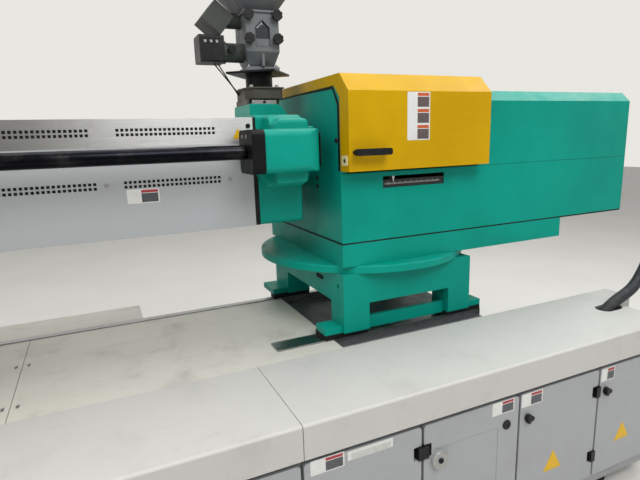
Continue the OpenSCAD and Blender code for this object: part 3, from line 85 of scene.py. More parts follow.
class Body(Enum):
    """The moving bodies that new pieces ride on."""

    MACHINE = "machine"
    UNIT = "injection_unit"
    HOOD = "hood"
    HEAD = "crosshead"
    SHUTOFF = "shutoff_plate"
    DOOR_2 = "door_2"
    DOOR_3 = "door_3"
    DOOR_4 = "door_4"
    DOOR_5 = "door_5"


def linear(colour: str) -> Colour:
    """Turns an sRGB colour code into a linear colour.

    Args:
        colour: The code, such as "#10a893".

    Returns:
        Red, green, blue and alpha as linear numbers.
    """
    parts = [int(colour[i : i + 2], 16) / 255 for i in (1, 3, 5)]
    lin = [c / 12.92 if c <= 0.04045 else ((c + 0.055) / 1.055) ** 2.4 for c in parts]
    return lin[0], lin[1], lin[2], 1.0


def shaded(colour: Colour, factor: float) -> Colour:
    """A colour times a factor, no channel above one."""
    return tuple(min(1.0, c * factor) for c in colour[:3]) + (1.0,)


class Nodes:
    """A material's node tree with one function that adds a node and links its inputs."""

    def __init__(self, name: str) -> None:
        """Makes an empty material with a Principled shader.

        Args:
            name: The material's name.
        """
        self.material = bpy.data.materials.new(name)
        self.material.use_nodes = True
        self.tree = self.material.node_tree
        self.tree.nodes.clear()
        self.shader = self.tree.nodes.new("ShaderNodeBsdfPrincipled")
        out = self.tree.nodes.new("ShaderNodeOutputMaterial")
        self.tree.links.new(self.shader.outputs[0], out.inputs[0])
        self._place: Socket | None = None

    def add(
        self, kind: str, inputs: dict | None = None, out: int | str = 0, **settings: object
    ) -> Socket:
        """Adds one node.

        Args:
            kind: The node's type without its "ShaderNode" prefix.
            inputs: Values or sockets by input name or number.
            out: The output that is wanted.
            **settings: Properties of the node.

        Returns:
            The node's output socket.
        """
        node = self.tree.nodes.new("ShaderNode" + kind)
        for key, value in settings.items():
            setattr(node, key, value)
        for key, value in (inputs or {}).items():
            if isinstance(value, Socket):
                self.tree.links.new(value, node.inputs[key])
            else:
                node.inputs[key].default_value = value
        return node.outputs[out]

    def maths(self, operation: str, a: object, b: object = 0.0) -> Socket:
        """Joins two numbers with a Math node."""
        return self.add("Math", {0: a, 1: b}, operation=operation)

    def times(self, a: object, b: object) -> Socket:
        """Multiplies two numbers."""
        return self.maths("MULTIPLY", a, b)

    def between(self, value: Socket, low: float, high: float) -> Socket:
        """1 where the value lies between two limits, else 0."""
        return self.times(self.maths("GREATER_THAN", value, low), self.maths("LESS_THAN", value, high))

    def part(self, vector: Socket, axis: int) -> Socket:
        """One number of a vector: 0 for X, 1 for Y, 2 for Z."""
        return self.add("SeparateXYZ", {0: vector}, out=axis)

    def place(self) -> Socket:
        """The point on the surface in metres, in the object's own frame."""
        if self._place is None:
            self._place = self.add("TexCoord", out="Object")
        return self._place

    def noise(self, scale: float, detail: float, rough: float, stretch: Point = (1, 1, 1)) -> Socket:
        """Noise over the surface.

        Args:
            scale: Cells per metre.
            detail: Number of octaves.
            rough: How strong the fine octaves are.
            stretch: Factor on each axis before the noise is read.

        Returns:
            A number from 0 to 1.
        """
        where = self.add("Mapping", {"Vector": self.place(), "Scale": stretch})
        inputs = {"Vector": where, "Scale": scale, "Detail": detail, "Roughness": rough}
        return self.add("TexNoise", inputs)

    def ramp(
        self, value: Socket, low: float, high: float, to_low: float = 0.0, to_high: float = 1.0
    ) -> Socket:
        """Maps low..high smoothly onto to_low..to_high."""
        inputs = {"Value": value, 1: low, 2: high, 3: to_low, 4: to_high}
        return self.add("MapRange", inputs, interpolation_type="SMOOTHSTEP")

    def mix(self, share: object, a: object, b: object) -> Socket:
        """Mixes two colours."""
        return self.add("Mix", {0: share, 6: a, 7: b}, out=2, data_type="RGBA")

    def edges(self, width: float) -> tuple[Socket, Socket]:
        """Rounds the look of the edges.

        Args:
            width: Edge radius in metres.

        Returns:
            The rounded normal, and a mask that is 1 on an edge and 0 on a flat face.
        """
        soft = self.add("Bevel", {"Radius": width}, samples=6)
        true = self.add("NewGeometry", out="Normal")
        same = self.add("VectorMath", {0: soft, 1: true}, out="Value", operation="DOT_PRODUCT")
        return soft, self.ramp(same, 0.96, 0.80)

    def bump(self, height: Socket, strength: float, depth: float, normal: Socket) -> Socket:
        """Adds relief of a given depth in metres on top of a normal."""
        inputs = {"Height": height, "Strength": strength, "Distance": depth, "Normal": normal}
        return self.add("Bump", inputs)

    def feed(self, **inputs: object) -> bpy.types.Material:
        """Sets the shader's inputs and returns the material; an underscore stands for a space."""
        for key, value in inputs.items():
            socket = self.shader.inputs[key.replace("_", " ")]
            if isinstance(value, Socket):
                self.tree.links.new(value, socket)
            else:
                socket.default_value = value
        return self.material


@dataclass(frozen=True)
class MachinePaint:
    """Sprayed machine enamel: orange peel, faint clouding, dust on top faces, chipped edges.

    The fields that end in cells count the noise cells in a metre.
    """

    name: str
    colour: str
    worn: str
    rough: float = 0.38
    peel_mm: float = 1.2
    cloud: float = 0.10
    edge_mm: float = 2.0
    chips: float = 0.5
    dust: float = 0.12
    grain: float = 0.00003
    sheen: float = 0.15
    cloud_cells: float = 2.3
    dust_cells: float = 9
    chip_cells: float = 55
    gloss_cells: float = 14

    def material(self) -> bpy.types.Material:
        """Builds the paint; slow noise darkens it and worn edges lighten it.

        Returns:
            The material.
        """
        n = Nodes(self.name)
        base = linear(self.colour)
        clouds = n.ramp(n.noise(self.cloud_cells, 4, 0.6), 0.35, 0.7)
        colour = n.mix(clouds, base, shaded(base, 1 - self.cloud * 1.6))
        upward = n.part(n.add("NewGeometry", out="Normal"), 2)
        lying = n.times(n.ramp(upward, 0.5, 1.0), n.ramp(n.noise(self.dust_cells, 5, 0.7), 0.4, 0.75))
        colour = n.mix(n.times(lying, self.dust), colour, linear(DUST))
        soft, edge = n.edges(self.edge_mm * MM)
        chip = n.times(edge, n.ramp(n.noise(self.chip_cells, 4, 0.75), 0.52, 0.66))
        colour = n.mix(n.times(chip, self.chips), colour, linear(self.worn))
        gloss = n.noise(self.gloss_cells, 5, 0.7)
        rub = n.ramp(gloss, 0.3, 0.8, self.rough - 0.07, self.rough + 0.12)
        relief = n.bump(n.noise(1 / (self.peel_mm * MM), 2, 0.5), 0.5, self.grain, soft)
        return n.feed(Base_Color=colour, Roughness=rub, Normal=relief, Specular_IOR_Level=self.sheen)


@dataclass(frozen=True)
class PowderCoat:
    """Light powder coat on bent sheet: fine leather grain, grey smudges and long faint scuffs."""

    name: str
    colour: str
    smudge: str = "#8b8a84"
    rough: float = 0.46
    dirt: float = 0.22
    edge_mm: float = 2.0
    scuffs: float = 0.35
    smudge_cells: float = 5.5
    scuff_cells: float = 7
    patch_cells: float = 3.1
    rim_cells: float = 40
    gloss_cells: float = 18
    leather_cells: float = 850
    scuff_lay: Point = (1.0, 26.0, 9.0)

    def material(self) -> bpy.types.Material:
        """Builds the coat; smudges follow slow noise, scuffs a noise drawn out along X.

        Returns:
            The material.
        """
        n = Nodes(self.name)
        stain = n.times(n.ramp(n.noise(self.smudge_cells, 6, 0.68), 0.48, 0.78), self.dirt)
        colour = n.mix(stain, linear(self.colour), linear(self.smudge))
        streak = n.ramp(n.noise(self.scuff_cells, 3, 0.6, self.scuff_lay), 0.63, 0.72)
        patch = n.ramp(n.noise(self.patch_cells, 2, 0.5), 0.5, 0.62)
        colour = n.mix(n.times(n.times(streak, patch), self.scuffs), colour, linear(SCUFF))
        soft, edge = n.edges(self.edge_mm * MM)
        rim = n.times(edge, n.ramp(n.noise(self.rim_cells, 3, 0.6), 0.35, 0.7))
        colour = n.mix(n.times(rim, 0.4), colour, linear(BARE_RIM))
        gloss = n.noise(self.gloss_cells, 4, 0.6)
        rub = n.ramp(gloss, 0.3, 0.75, self.rough - 0.06, self.rough + 0.10)
        relief = n.bump(n.noise(self.leather_cells, 2, 0.5), 0.45, 0.04 * MM, soft)
        return n.feed(Base_Color=colour, Roughness=rub, Normal=relief)


class Lay(Enum):
    """How a metal surface was brushed or turned: the factor on its noise along each axis."""

    ALONG_X = (1.5, 260.0, 260.0)
    ROUND = (220.0, 12.0, 12.0)


@dataclass(frozen=True)
class BrushedMetal:
    """Bare metal with a grain and cloudy hand marks.

    stretch spreads the highlights across the brushing, and painted_shade darkens the metal towards low X as
    painted shade.
    """

    name: str
    colour: str
    rough: float = 0.34
    lay: Lay = Lay.ALONG_X
    marks: float = 0.3
    stretch: float = 0.0
    painted_shade: float = 0.0
    painted_shade_span: Pair = (0.0, 0.75)
    edge_mm: float = 0.8
    grain_cells: float = 5
    hand_cells: float = 6.5

    def material(self) -> bpy.types.Material:
        """Builds the metal; its grain is noise stretched along the brushing.

        Returns:
            The material.
        """
        n = Nodes(self.name)
        base = linear(self.colour)
        grain = n.noise(self.grain_cells, 4, 0.7, self.lay.value)
        colour = n.mix(n.ramp(grain, 0.25, 0.8), shaded(base, 0.72), base)
        hands = n.ramp(n.noise(self.hand_cells, 5, 0.65), 0.45, 0.75)
        colour = n.mix(n.times(hands, self.marks), colour, linear(HAND_GREASE))
        rub = n.ramp(grain, 0.3, 0.7, self.rough - 0.08, self.rough + 0.08)
        rub = n.maths("ADD", rub, n.times(hands, 0.14))
        soft, _ = n.edges(self.edge_mm * MM)
        relief = n.bump(grain, 0.25, 0.03 * MM, soft)
        # Painted shade: the metal grows darker towards low X.
        if self.painted_shade:
            along = n.part(n.place(), 0)
            colour = n.mix(n.ramp(along, *self.painted_shade_span, self.painted_shade, 0.0), colour, linear(ROOM_SHADE))
        looks = {"Base_Color": colour, "Roughness": rub, "Normal": relief, "Metallic": 1.0}
        if self.stretch:
            looks |= {"Anisotropic": self.stretch, "Tangent": n.add("CombineXYZ", {2: 1.0})}
        return n.feed(**looks)


@dataclass(frozen=True)
class CastMetal:
    """Sand-cast or rough machined metal: pitted skin, oily dark patches, rounded edges."""

    name: str
    colour: str
    rough: float = 0.55
    metal: float = 0.35
    pits_mm: float = 3.0
    edge_mm: float = 4.0
    oil_cells: float = 17

    def material(self) -> bpy.types.Material:
        """Builds the skin from two sizes of noise; the coarse one darkens the colour.

        Returns:
            The material.
        """
        n = Nodes(self.name)
        base = linear(self.colour)
        skin = n.noise(1 / (self.pits_mm * MM), 3, 0.6)
        oil = n.ramp(n.noise(self.oil_cells, 5, 0.7), 0.42, 0.72)
        colour = n.mix(n.times(oil, 0.7), base, shaded(base, 0.6))
        soft, edge = n.edges(self.edge_mm * MM)
        colour = n.mix(n.times(edge, 0.35), colour, shaded(base, 1.8))
        relief = n.bump(skin, 0.5, 0.4 * MM, soft)
        rub = n.ramp(oil, 0, 1, self.rough + 0.05, self.rough - 0.15)
        return n.feed(Base_Color=colour, Roughness=rub, Normal=relief, Metallic=self.metal)


@dataclass(frozen=True)
class Moulded:
    """Moulded plastic or rubber with a spark-eroded grain."""

    name: str
    colour: str
    rough: float = 0.45
    grain_mm: float = 0.7
    bleach: float = 0.12
    coat: float = 0.0
    sheen: float = 0.25
    edge_mm: float = 1.2
    bleach_cells: float = 22
    gloss_cells: float = 30

    def material(self) -> bpy.types.Material:
        """Builds the plastic; slow noise bleaches it and fine noise gives the grain.

        Returns:
            The material.
        """
        n = Nodes(self.name)
        base = linear(self.colour)
        pale = tuple(c + (0.5 - c) * self.bleach for c in base[:3]) + (1.0,)
        colour = n.mix(n.ramp(n.noise(self.bleach_cells, 4, 0.6), 0.45, 0.8), base, pale)
        soft, _ = n.edges(self.edge_mm * MM)
        relief = n.bump(n.noise(1 / (self.grain_mm * MM), 2, 0.5), 0.4, 0.05 * MM, soft)
        gloss = n.noise(self.gloss_cells, 3, 0.6)
        rub = n.ramp(gloss, 0.3, 0.8, self.rough - 0.05, self.rough + 0.1)
        looks = {"Coat_Weight": self.coat, "Specular_IOR_Level": self.sheen}
        return n.feed(Base_Color=colour, Roughness=rub, Normal=relief, **looks)


@dataclass(frozen=True)
class ClearPane:
    """Clear sheet for sight windows: hard gloss, faint wipe marks."""

    name: str
    colour: str = "#3c4146"
    clear: float = 0.35

    def material(self) -> bpy.types.Material:
        """Builds the pane; wipe marks only change its gloss.

        Returns:
            The material.
        """
        n = Nodes(self.name)
        wipe = n.ramp(n.noise(9, 3, 0.6, (1, 1, 6)), 0.45, 0.7, 0.04, 0.16)
        return n.feed(Base_Color=linear(self.colour), Roughness=wipe, Transmission_Weight=self.clear, IOR=1.45)


@dataclass(frozen=True)
class PrintedPlate:
    """A blank instruction plate: foil with a pale field, a coloured band and a dark field.

    split and margin bound the printed part along U, dark and head the two fields along each row.
    """

    name: str
    band: str = "#a8323a"
    field: str = "#4b4d52"
    ground: str = "#dfdfdc"
    split: float = 0.44
    rows: int = 1
    margin: float = 0.955
    dark: Pair = (0.07, 0.70)
    head: Pair = (0.74, 0.94)

    def material(self) -> bpy.types.Material:
        """Builds the plate; its right part holds the band above the dark field, in equal rows.

        Returns:
            The material.
        """
        n = Nodes(self.name)
        uv = n.add("UVMap")
        right = n.between(n.part(uv, 0), self.split, self.margin)
        row = n.maths("FRACT", n.times(n.part(uv, 1), float(self.rows)))
        dark = n.times(right, n.between(row, *self.dark))
        head = n.times(right, n.between(row, *self.head))
        rub = n.ramp(n.noise(120, 4, 0.7), 0.35, 0.75, 0.0, 0.18)
        ground = n.mix(rub, linear(self.ground), linear(RUBBED_FOIL))
        colour = n.mix(dark, ground, linear(self.field))
        colour = n.mix(head, colour, linear(self.band))
        return n.feed(Base_Color=colour, Roughness=n.ramp(n.noise(60, 3, 0.5), 0.3, 0.7, 0.25, 0.4))


@dataclass(frozen=True)
class StrokeScale:
    """A black engraved scale with a row of fine white ticks on a line; the pairs are limits along V."""

    name: str = "stroke_scale_print"
    black: str = "#131416"
    white: str = "#c9cac6"
    ticks: int = 56
    ends: Pair = (0.03, 0.93)
    short_tick: Pair = (0.44, 0.60)
    long_tick: Pair = (0.40, 0.72)
    base_line: Pair = (0.42, 0.455)

    def material(self) -> bpy.types.Material:
        """Builds the ticks over the strip's own UV; each fifth tick is longer.

        Returns:
            The material.
        """
        n = Nodes(self.name)
        uv = n.add("UVMap")
        u, v = n.part(uv, 0), n.part(uv, 1)
        fine = n.maths("LESS_THAN", n.maths("FRACT", n.times(u, float(self.ticks))), 0.38)
        long = n.maths("LESS_THAN", n.maths("FRACT", n.times(u, self.ticks / 5)), 0.08)
        short_marks = n.times(fine, n.between(v, *self.short_tick))
        long_marks = n.times(long, n.between(v, *self.long_tick))
        mark = n.maths("MAXIMUM", short_marks, long_marks)
        mark = n.times(n.between(u, *self.ends), n.maths("MAXIMUM", mark, n.between(v, *self.base_line)))
        colour = n.mix(n.times(mark, 0.8), linear(self.black), linear(self.white))
        return n.feed(Base_Color=colour, Roughness=n.ramp(n.noise(90, 3, 0.5), 0.3, 0.7, 0.3, 0.45))


FINISHES = (
    MachinePaint("teal_enamel", "#009a88", "#3fbfac", 0.40, dust=0.04),
    MachinePaint("teal_casting_enamel", "#069c8a", "#62d2be", 0.34, 6.0, 0.14, 7.0, 0.35, 0.10, 0.0004),
    MachinePaint("yellow_enamel", "#cfa200", "#dcba3a", 0.42, chips=0.35, dust=0.05),
    MachinePaint("feeder_grey_enamel", "#4c504c", "#75797a", 0.45, 3.0, 0.2, 3.0, 0.3, 0.2, 0.0002),
    MachinePaint("platen_grey_enamel", "#b9bbb9", "#8f9190", 0.42, edge_mm=4.0),
    MachinePaint("black_enamel", "#0e0f12", "#2c2d30", 0.42, 3.0, 0.2, 5.0, 0.3, 0.04, 0.0002),
    PowderCoat("cover_powder_coat", "#c4c2be"),
    PowderCoat("door_powder_coat", "#a3a5a8", scuffs=0.2),
    PowderCoat("cabinet_powder_coat", "#9a9c9e", scuffs=0.2),
    PowderCoat("deck_coated_sheet", "#d3d0c6", "#8d8a80", 0.5, 0.45, scuffs=0.5),
    PowderCoat("guard_coated_sheet", "#aeb1b3", "#a5a7a6", 0.36, 0.12, scuffs=0.12),
    PowderCoat("hopper_coated_sheet", "#55595c", "#7b7d7c", 0.45, 0.2),
    PowderCoat("frame_coated_steel", "#6b6d70", "#4d4e50", 0.5, 0.3),
    BrushedMetal("upper_guard_stainless", "#cacaca", 0.34, marks=0.3, stretch=0.85, painted_shade=0.6),
    BrushedMetal("ground_guide_steel", "#a9aaab", 0.26, marks=0.35),
    BrushedMetal("turned_barrel_steel", "#8a817a", 0.36, Lay.ROUND, 0.3),
    BrushedMetal("folded_band_steel", "#b9b7b0", 0.36, Lay.ROUND),
    BrushedMetal("hard_chrome_bars", "#c9cccf", 0.16, Lay.ROUND, 0.1),
    BrushedMetal("black_chrome_rods", "#17181d", 0.17, Lay.ROUND, 0.12),
    BrushedMetal(PLATED, "#b0b0ae", 0.3, Lay.ROUND, 0.1, edge_mm=0.4),
    CastMetal("machined_cast_iron", "#6a6862"),
    CastMetal("clamp_block_castings", "#47443d", 0.5, 0.45),
    CastMetal("neck_cast_aluminium", "#696d70", 0.5, 0.3, 2.2),
    Moulded(BLACK, "#0d0e10", 0.42, bleach=0.05),
    # This black also serves as painted shade in the base joint, behind the guard vents and at the casting's
    # right ends.
    Moulded(RUBBER_AND_SHADE, "#0b0c0d", 0.7, 1.5, 0.03),
    Moulded("plastic_pellets", "#6e7275", 0.5, 3.0, 0.3),
    Moulded("hose_sheath", "#2e3033", 0.5),
    Moulded("device_white_plastic", "#d6d6d0", 0.4),
    Moulded("stop_button_red", "#b81f1a", 0.3, coat=0.3),
    Moulded("yellow_foil", "#e2b219", 0.35),
    Moulded("pointer_white", "#e6e6e2", 0.4),
    Moulded("latch_pale_plastic", "#d9cf9a", 0.4),
    ClearPane("sight_glass"),
    PrintedPlate("door_plate_print"),
    PrintedPlate("hood_plate_print", "#c0562a", "#5b4f50", rows=3),
    PrintedPlate("strip_plate_print", "#d8d8d4", "#c4c4c0", split=0.08),
    StrokeScale(),
)


@dataclass
class Shell:
    """A surface: points in metres, four-sided faces, and a UV place for each point."""

    points: np.ndarray
    faces: np.ndarray
    uv: np.ndarray

    def __add__(self, other: "Shell") -> "Shell":
        """Two shells as one, the second one's face numbers moved up."""
        return Shell(
            np.vstack([self.points, other.points]),
            np.vstack([self.faces, other.faces + len(self.points)]),
            np.vstack([self.uv, other.uv]),
        )

    def placed(self, at: Point, axes: Axes = FRONT) -> "Shell":
        """Carries the shell into the machine's frame.

        Args:
            at: Where the local origin goes, in metres.
            axes: Directions of the local X and Y axes.

        Returns:
            The moved shell; its local Z becomes the cross product of the two directions.
        """
        ax, ay = (np.array(axis, float) / np.linalg.norm(axis) for axis in axes)
        turn = np.stack([ax, ay, np.cross(ax, ay)])
        return Shell(self.points @ turn + np.array(at), self.faces, self.uv)


def grid_shell(grid: np.ndarray, wrap: bool = False) -> Shell:
    """Skins a grid of points with four-sided faces.

    Args:
        grid: Points, rows by columns by three.
        wrap: Whether the last column joins the first one.

    Returns:
        The shell; each face joins four neighbours.
    """
    rows, cols = grid.shape[:2]
    index = np.arange(rows * cols).reshape(rows, cols)
    right = np.roll(index, -1, axis=1) if wrap else index[:, 1:]
    left = index if wrap else index[:, :-1]
    faces = np.stack([left[:-1], right[:-1], right[1:], left[1:]], axis=-1).reshape(-1, 4)
    u = np.broadcast_to(np.linspace(0, 1, cols), (rows, cols))
    v = np.broadcast_to(np.linspace(0, 1, rows)[:, None], (rows, cols))
    return Shell(grid.reshape(-1, 3), faces, np.stack([u, v], axis=-1).reshape(-1, 2))


def round_outline(width: float, height: float, radius: float) -> np.ndarray:
    """Outline of a rectangle with round corners, counter-clockwise round the origin.

    Args:
        width: Size along X.
        height: Size along Y.
        radius: Corner radius.

    Returns:
        Points, one row each: each corner's centre plus the radius times cosine and sine.
    """
    angle = np.linspace(0, math.pi / 2, CORNER_POINTS)
    turn = np.arange(4)[:, None] * math.pi / 2 + angle
    signs = np.array([[1, 1], [-1, 1], [-1, -1], [1, -1]], float)
    centre = signs * (np.array([width, height]) / 2 - radius)
    ring = centre[:, None, :] + radius * np.stack([np.cos(turn), np.sin(turn)], axis=-1)
    return ring.reshape(-1, 2)


def plate(
    width: float, height: float, radius: float, thick: float, outline: np.ndarray | None = None
) -> Shell:
    """A thin plate lying on the local XY plane, with a softened rim.

    Args:
        width: Size along X.
        height: Size along Y.
        radius: Corner radius.
        thick: Height above the plane.
        outline: Another outline to use, counter-clockwise.

    Returns:
        The shell: rings of the outline, full size at the foot and shrunk to the middle at the top.
    """
    ring = round_outline(width, height, radius) if outline is None else outline
    scale = np.array([1.0, 1.0, 0.985, 0.5, 0.0])
    rise = np.array([0.0, thick * 0.7, thick, thick, thick])
    xy = ring[None] * scale[:, None, None]
    z = np.broadcast_to(rise[:, None, None], (*xy.shape[:2], 1))
    shell = grid_shell(np.concatenate([xy, z], axis=-1), wrap=True)
    shell.uv = shell.points[:, :2] / np.array([width, height]) + 0.5
    return shell


def revolved(profile: list[Pair], sides: int, radius: float = 1.0, height: float = 1.0) -> Shell:
    """Turns a profile round the local Z axis.

    Args:
        profile: Radius and height of each point, from the foot to the top.
        sides: Points round the axis.
        radius: Factor on the profile's radii.
        height: Factor on its heights.

    Returns:
        The shell: radius times cosine and sine of the turn, at the profile's height.
    """
    r, h = (np.array(profile, float) * (radius, height)).T[:, :, None]
    turn = np.linspace(0, 2 * math.pi, sides, endpoint=False)
    h = np.broadcast_to(h, (len(r), sides))
    grid = np.stack([r * np.cos(turn), r * np.sin(turn), h], axis=-1)
    return grid_shell(grid, wrap=True)


def swept(path: np.ndarray, radius: np.ndarray, sides: int) -> Shell:
    """A tube along a path, with a radius for each of the path's points.

    Args:
        path: Points in metres.
        radius: Tube radius at each point.
        sides: Points round the tube.

    Returns:
        The shell: each ring stands across the path's local direction.
    """
    along = np.gradient(path, axis=0)
    along /= np.linalg.norm(along, axis=1, keepdims=True)
    side = np.cross(along, np.array([0.13, 0.97, 0.21]))
    side /= np.linalg.norm(side, axis=1, keepdims=True)
    up = np.cross(along, side)
    turn = np.linspace(0, 2 * math.pi, sides, endpoint=False)[None, :, None]
    grid = path[:, None] + radius[:, None, None] * (np.cos(turn) * side[:, None] + np.sin(turn) * up[:, None])
    return grid_shell(grid, wrap=True)


def smooth_path(points: list[Point], step: float) -> np.ndarray:
    """Resamples a path evenly along a Catmull-Rom curve through its points.

    Args:
        points: Points in metres.
        step: Distance between two samples.

    Returns:
        The samples.
    """
    p = np.array(points, float)
    p = np.vstack([2 * p[0] - p[1], p, 2 * p[-1] - p[-2]])
    t = np.linspace(0, 1, 40, endpoint=False)[None, :, None]
    a, b, c, d = p[:-3, None], p[1:-2, None], p[2:-1, None], p[3:, None]
    curve = 0.5 * (2 * b + (c - a) * t + (2 * a - 5 * b + 4 * c - d) * t**2 + (3 * b - a - 3 * c + d) * t**3)
    curve = np.vstack([curve.reshape(-1, 3), p[-2]])
    run = np.concatenate([[0], np.cumsum(np.linalg.norm(np.diff(curve, axis=0), axis=1))])
    want = np.linspace(0, run[-1], max(2, int(run[-1] / step)))
    return np.stack([np.interp(want, run, curve[:, k]) for k in range(3)], axis=-1)


def ribbon(outer: np.ndarray, inner: np.ndarray) -> Shell:
    """A flat band between two lines of equally many points.

    Args:
        outer: The first line's points.
        inner: The second line's points.

    Returns:
        The shell: four rows, each a weighted mean of the two lines.
    """
    share = np.linspace(0, 1, 4)[:, None, None]
    return grid_shell((1 - share) * outer[None] + share * inner[None])


def closed(corners: list[Pair], per_side: int) -> np.ndarray:
    """Points along a closed outline, the same number on each side."""
    points = np.array(corners, float)
    sides = zip(points, np.roll(points, -1, axis=0))
    return np.concatenate([np.linspace(a, b, per_side, endpoint=False) for a, b in sides])


def dense(corners: list[Point], per_side: int) -> np.ndarray:
    """Points along an open line, the same number on each side with both its ends."""
    points = np.array(corners, float)
    return np.vstack([np.linspace(a, b, per_side) for a, b in zip(points, points[1:])])


def joined(shells: list[Shell]) -> Shell:
    """Several shells as one."""
    return sum(shells[1:], shells[0])


def copies(shell: Shell, places: list[Point], axes: Axes = FRONT) -> Shell:
    """One shell at several places, as a single shell."""
    return joined([shell.placed(at, axes) for at in places])


def hexagon_bolt(radius: float, height: float) -> Shell:
    """A hexagon head on its washer, standing on the local XY plane."""
    washer = revolved([(1.35, 0), (1.35, 0.2), (0.9, 0.2)], 24, radius, height)
    return washer + revolved([(1, 0.2), (1, 0.9), (0.86, 1), (0, 1)], 6, radius, height)


def screw_head(radius: float, height: float) -> Shell:
    """A pan head with a round recess, standing on the local XY plane."""
    profile = [(1, 0), (1, 0.6), (0.85, 1), (0.45, 1), (0.42, 0.35), (0, 0.35)]
    return revolved(profile, 18, radius, height)


def triangle(width: float, foot: float, tip: float) -> Shell:
    """A plain foil triangle; its foot and tip are given as shares of its width."""
    edge = closed([(-0.5, foot), (0.5, foot), (0.0, tip)], 8)
    return plate(1, 1, 0.1, FOIL, edge * width)


def linked(name: str, data: bpy.types.ID) -> bpy.types.Object:
    """Makes an object from its data and links it to the scene."""
    obj = bpy.data.objects.new(name, data)
    bpy.context.scene.collection.objects.link(obj)
    return obj


def piece(
    name: str, shell: Shell, finish: bpy.types.Material, body: Body
) -> bpy.types.Object:
    """Makes an object from a shell and lets it ride on a body.

    Args:
        name: The piece's name.
        shell: Its surface in the machine's frame.
        finish: Its material.
        body: The body that it moves with.

    Returns:
        The object.
    """
    mesh = bpy.data.meshes.new(name)
    count = len(shell.faces)
    mesh.vertices.add(len(shell.points))
    mesh.vertices.foreach_set("co", shell.points.astype(np.float32).ravel())
    mesh.loops.add(count * 4)
    mesh.loops.foreach_set("vertex_index", shell.faces.astype(np.int32).ravel())
    mesh.polygons.add(count)
    mesh.polygons.foreach_set("loop_start", np.arange(0, count * 4, 4, dtype=np.int32))
    mesh.update(calc_edges=True)
    layer = mesh.uv_layers.new(name="UVMap")
    layer.data.foreach_set("uv", shell.uv[shell.faces.ravel()].astype(np.float32).ravel())
    bm = bmesh.new()
    bm.from_mesh(mesh)
    bmesh.ops.remove_doubles(bm, verts=bm.verts, dist=2e-6)
    bmesh.ops.recalc_face_normals(bm, faces=bm.faces)
    bm.to_mesh(mesh)
    bm.free()
    mesh.shade_smooth()
    mesh.set_sharp_from_angle(angle=math.radians(SHARP_DEGREES))
    mesh.materials.append(finish)
    obj = linked(name, mesh)
    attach(obj, body.value)
    LOG.info("piece %s: %d faces", name, len(mesh.polygons))
    return obj


@dataclass(frozen=True)
class Lamp:
    """A square soft lamp: its place, the point that it faces, its side in metres and its watts."""

    name: str
    at: Point
    aim: Point
    size: float
    watts: float

    def hang(self) -> None:
        """Builds the lamp; its local Z axis points away from the point that it faces."""
        data = bpy.data.lights.new(self.name, "AREA")
        data.shape, data.size, data.energy = "SQUARE", self.size, self.watts
        lamp = linked(self.name, data)
        lamp.location = self.at
        lamp.rotation_euler = (Vector(self.aim) - Vector(self.at)).to_track_quat("-Z", "Y").to_euler()


@dataclass
class Studio:
    """The camera of the photograph, soft lamps and the pale floor."""

    eye: Point = (0.400, -1.784, 1.4643)
    right: Point = (0.9076, -0.4188, -0.0304)
    up: Point = (0.1114, 0.1703, 0.9791)
    lens: float = 27.62
    fill: str = "#f2f3f5"
    fill_strength: float = 0.42
    backdrop: str = "#e9e7e1"
    floor_side: float = 40.0
    lamps: tuple[Lamp, ...] = (
        Lamp("ceiling_front", (1.5, -3.6, 4.6), (1.0, 0, 1.0), 2.4, 118),
        Lamp("ceiling_middle", (1.6, 0.6, 4.9), (1.2, 0.2, 1.0), 4.2, 125),
        Lamp("ceiling_left", (-3.2, -1.6, 4.2), (-0.6, 0.1, 1.2), 3.0, 80),
        Lamp("ceiling_right", (5.8, 0.2, 4.8), (2.2, 0.0, 1.2), 2.2, 70),
    )

    def camera(self) -> None:
        """Sets the camera; its matrix has the right, up and backward directions as columns."""
        data = bpy.data.cameras.new("camera")
        data.sensor_width, data.lens = 36.0, self.lens
        data.clip_start, data.clip_end = 0.02, 200
        cam = linked("camera", data)
        right = Vector(self.right).normalized()
        back = right.cross(Vector(self.up)).normalized()
        up = back.cross(right)
        turn = Matrix((right, up, back)).transposed().to_4x4()
        cam.matrix_world = Matrix.Translation(self.eye) @ turn
        bpy.context.scene.camera = cam

    def world(self) -> None:
        """Lights the scene evenly; camera, glossy and clear rays see the pale background."""
        world = bpy.data.worlds.new("world")
        world.use_nodes = True
        bpy.context.scene.world = world
        tree = world.node_tree
        tree.nodes.clear()
        new, link = tree.nodes.new, tree.links.new
        out = new("ShaderNodeOutputWorld")
        mixer = new("ShaderNodeMixShader")
        for place, colour, strength in ((1, self.fill, self.fill_strength), (2, self.backdrop, 1.0)):
            light = new("ShaderNodeBackground")
            light.inputs[0].default_value = linear(colour)
            light.inputs[1].default_value = strength
            link(light.outputs[0], mixer.inputs[place])
        path = new("ShaderNodeLightPath")
        share = path.outputs["Is Camera Ray"]
        for ray in ("Is Glossy Ray", "Is Transmission Ray"):
            either = new("ShaderNodeMath")
            either.operation = "MAXIMUM"
            link(share, either.inputs[0])
            link(path.outputs[ray], either.inputs[1])
            share = either.outputs[0]
        link(share, mixer.inputs[0])
        link(mixer.outputs[0], out.inputs[0])

    def floor(self) -> None:
        """Lays a plain pale floor under the feet."""
        side = self.floor_side / 2
        corners = [(-side, -side, 0), (side, -side, 0), (side, side, 0), (-side, side, 0)]
        mesh = bpy.data.meshes.new("floor")
        mesh.from_pydata(corners, [], [(0, 1, 2, 3)])
        n = Nodes("studio_floor")
        tone = n.mix(n.ramp(n.noise(1.5, 3, 0.5), 0.3, 0.7), linear("#e4e2dc"), linear("#e0ded7"))
        mesh.materials.append(n.feed(Base_Color=tone, Roughness=0.7))
        floor = linked("floor", mesh)

    def set_up(self) -> None:
        """Builds the whole studio."""
        self.camera()
        self.world()
        for lamp in self.lamps:
            lamp.hang()
        self.floor()
        LOG.info("studio with %d lamps", len(self.lamps))


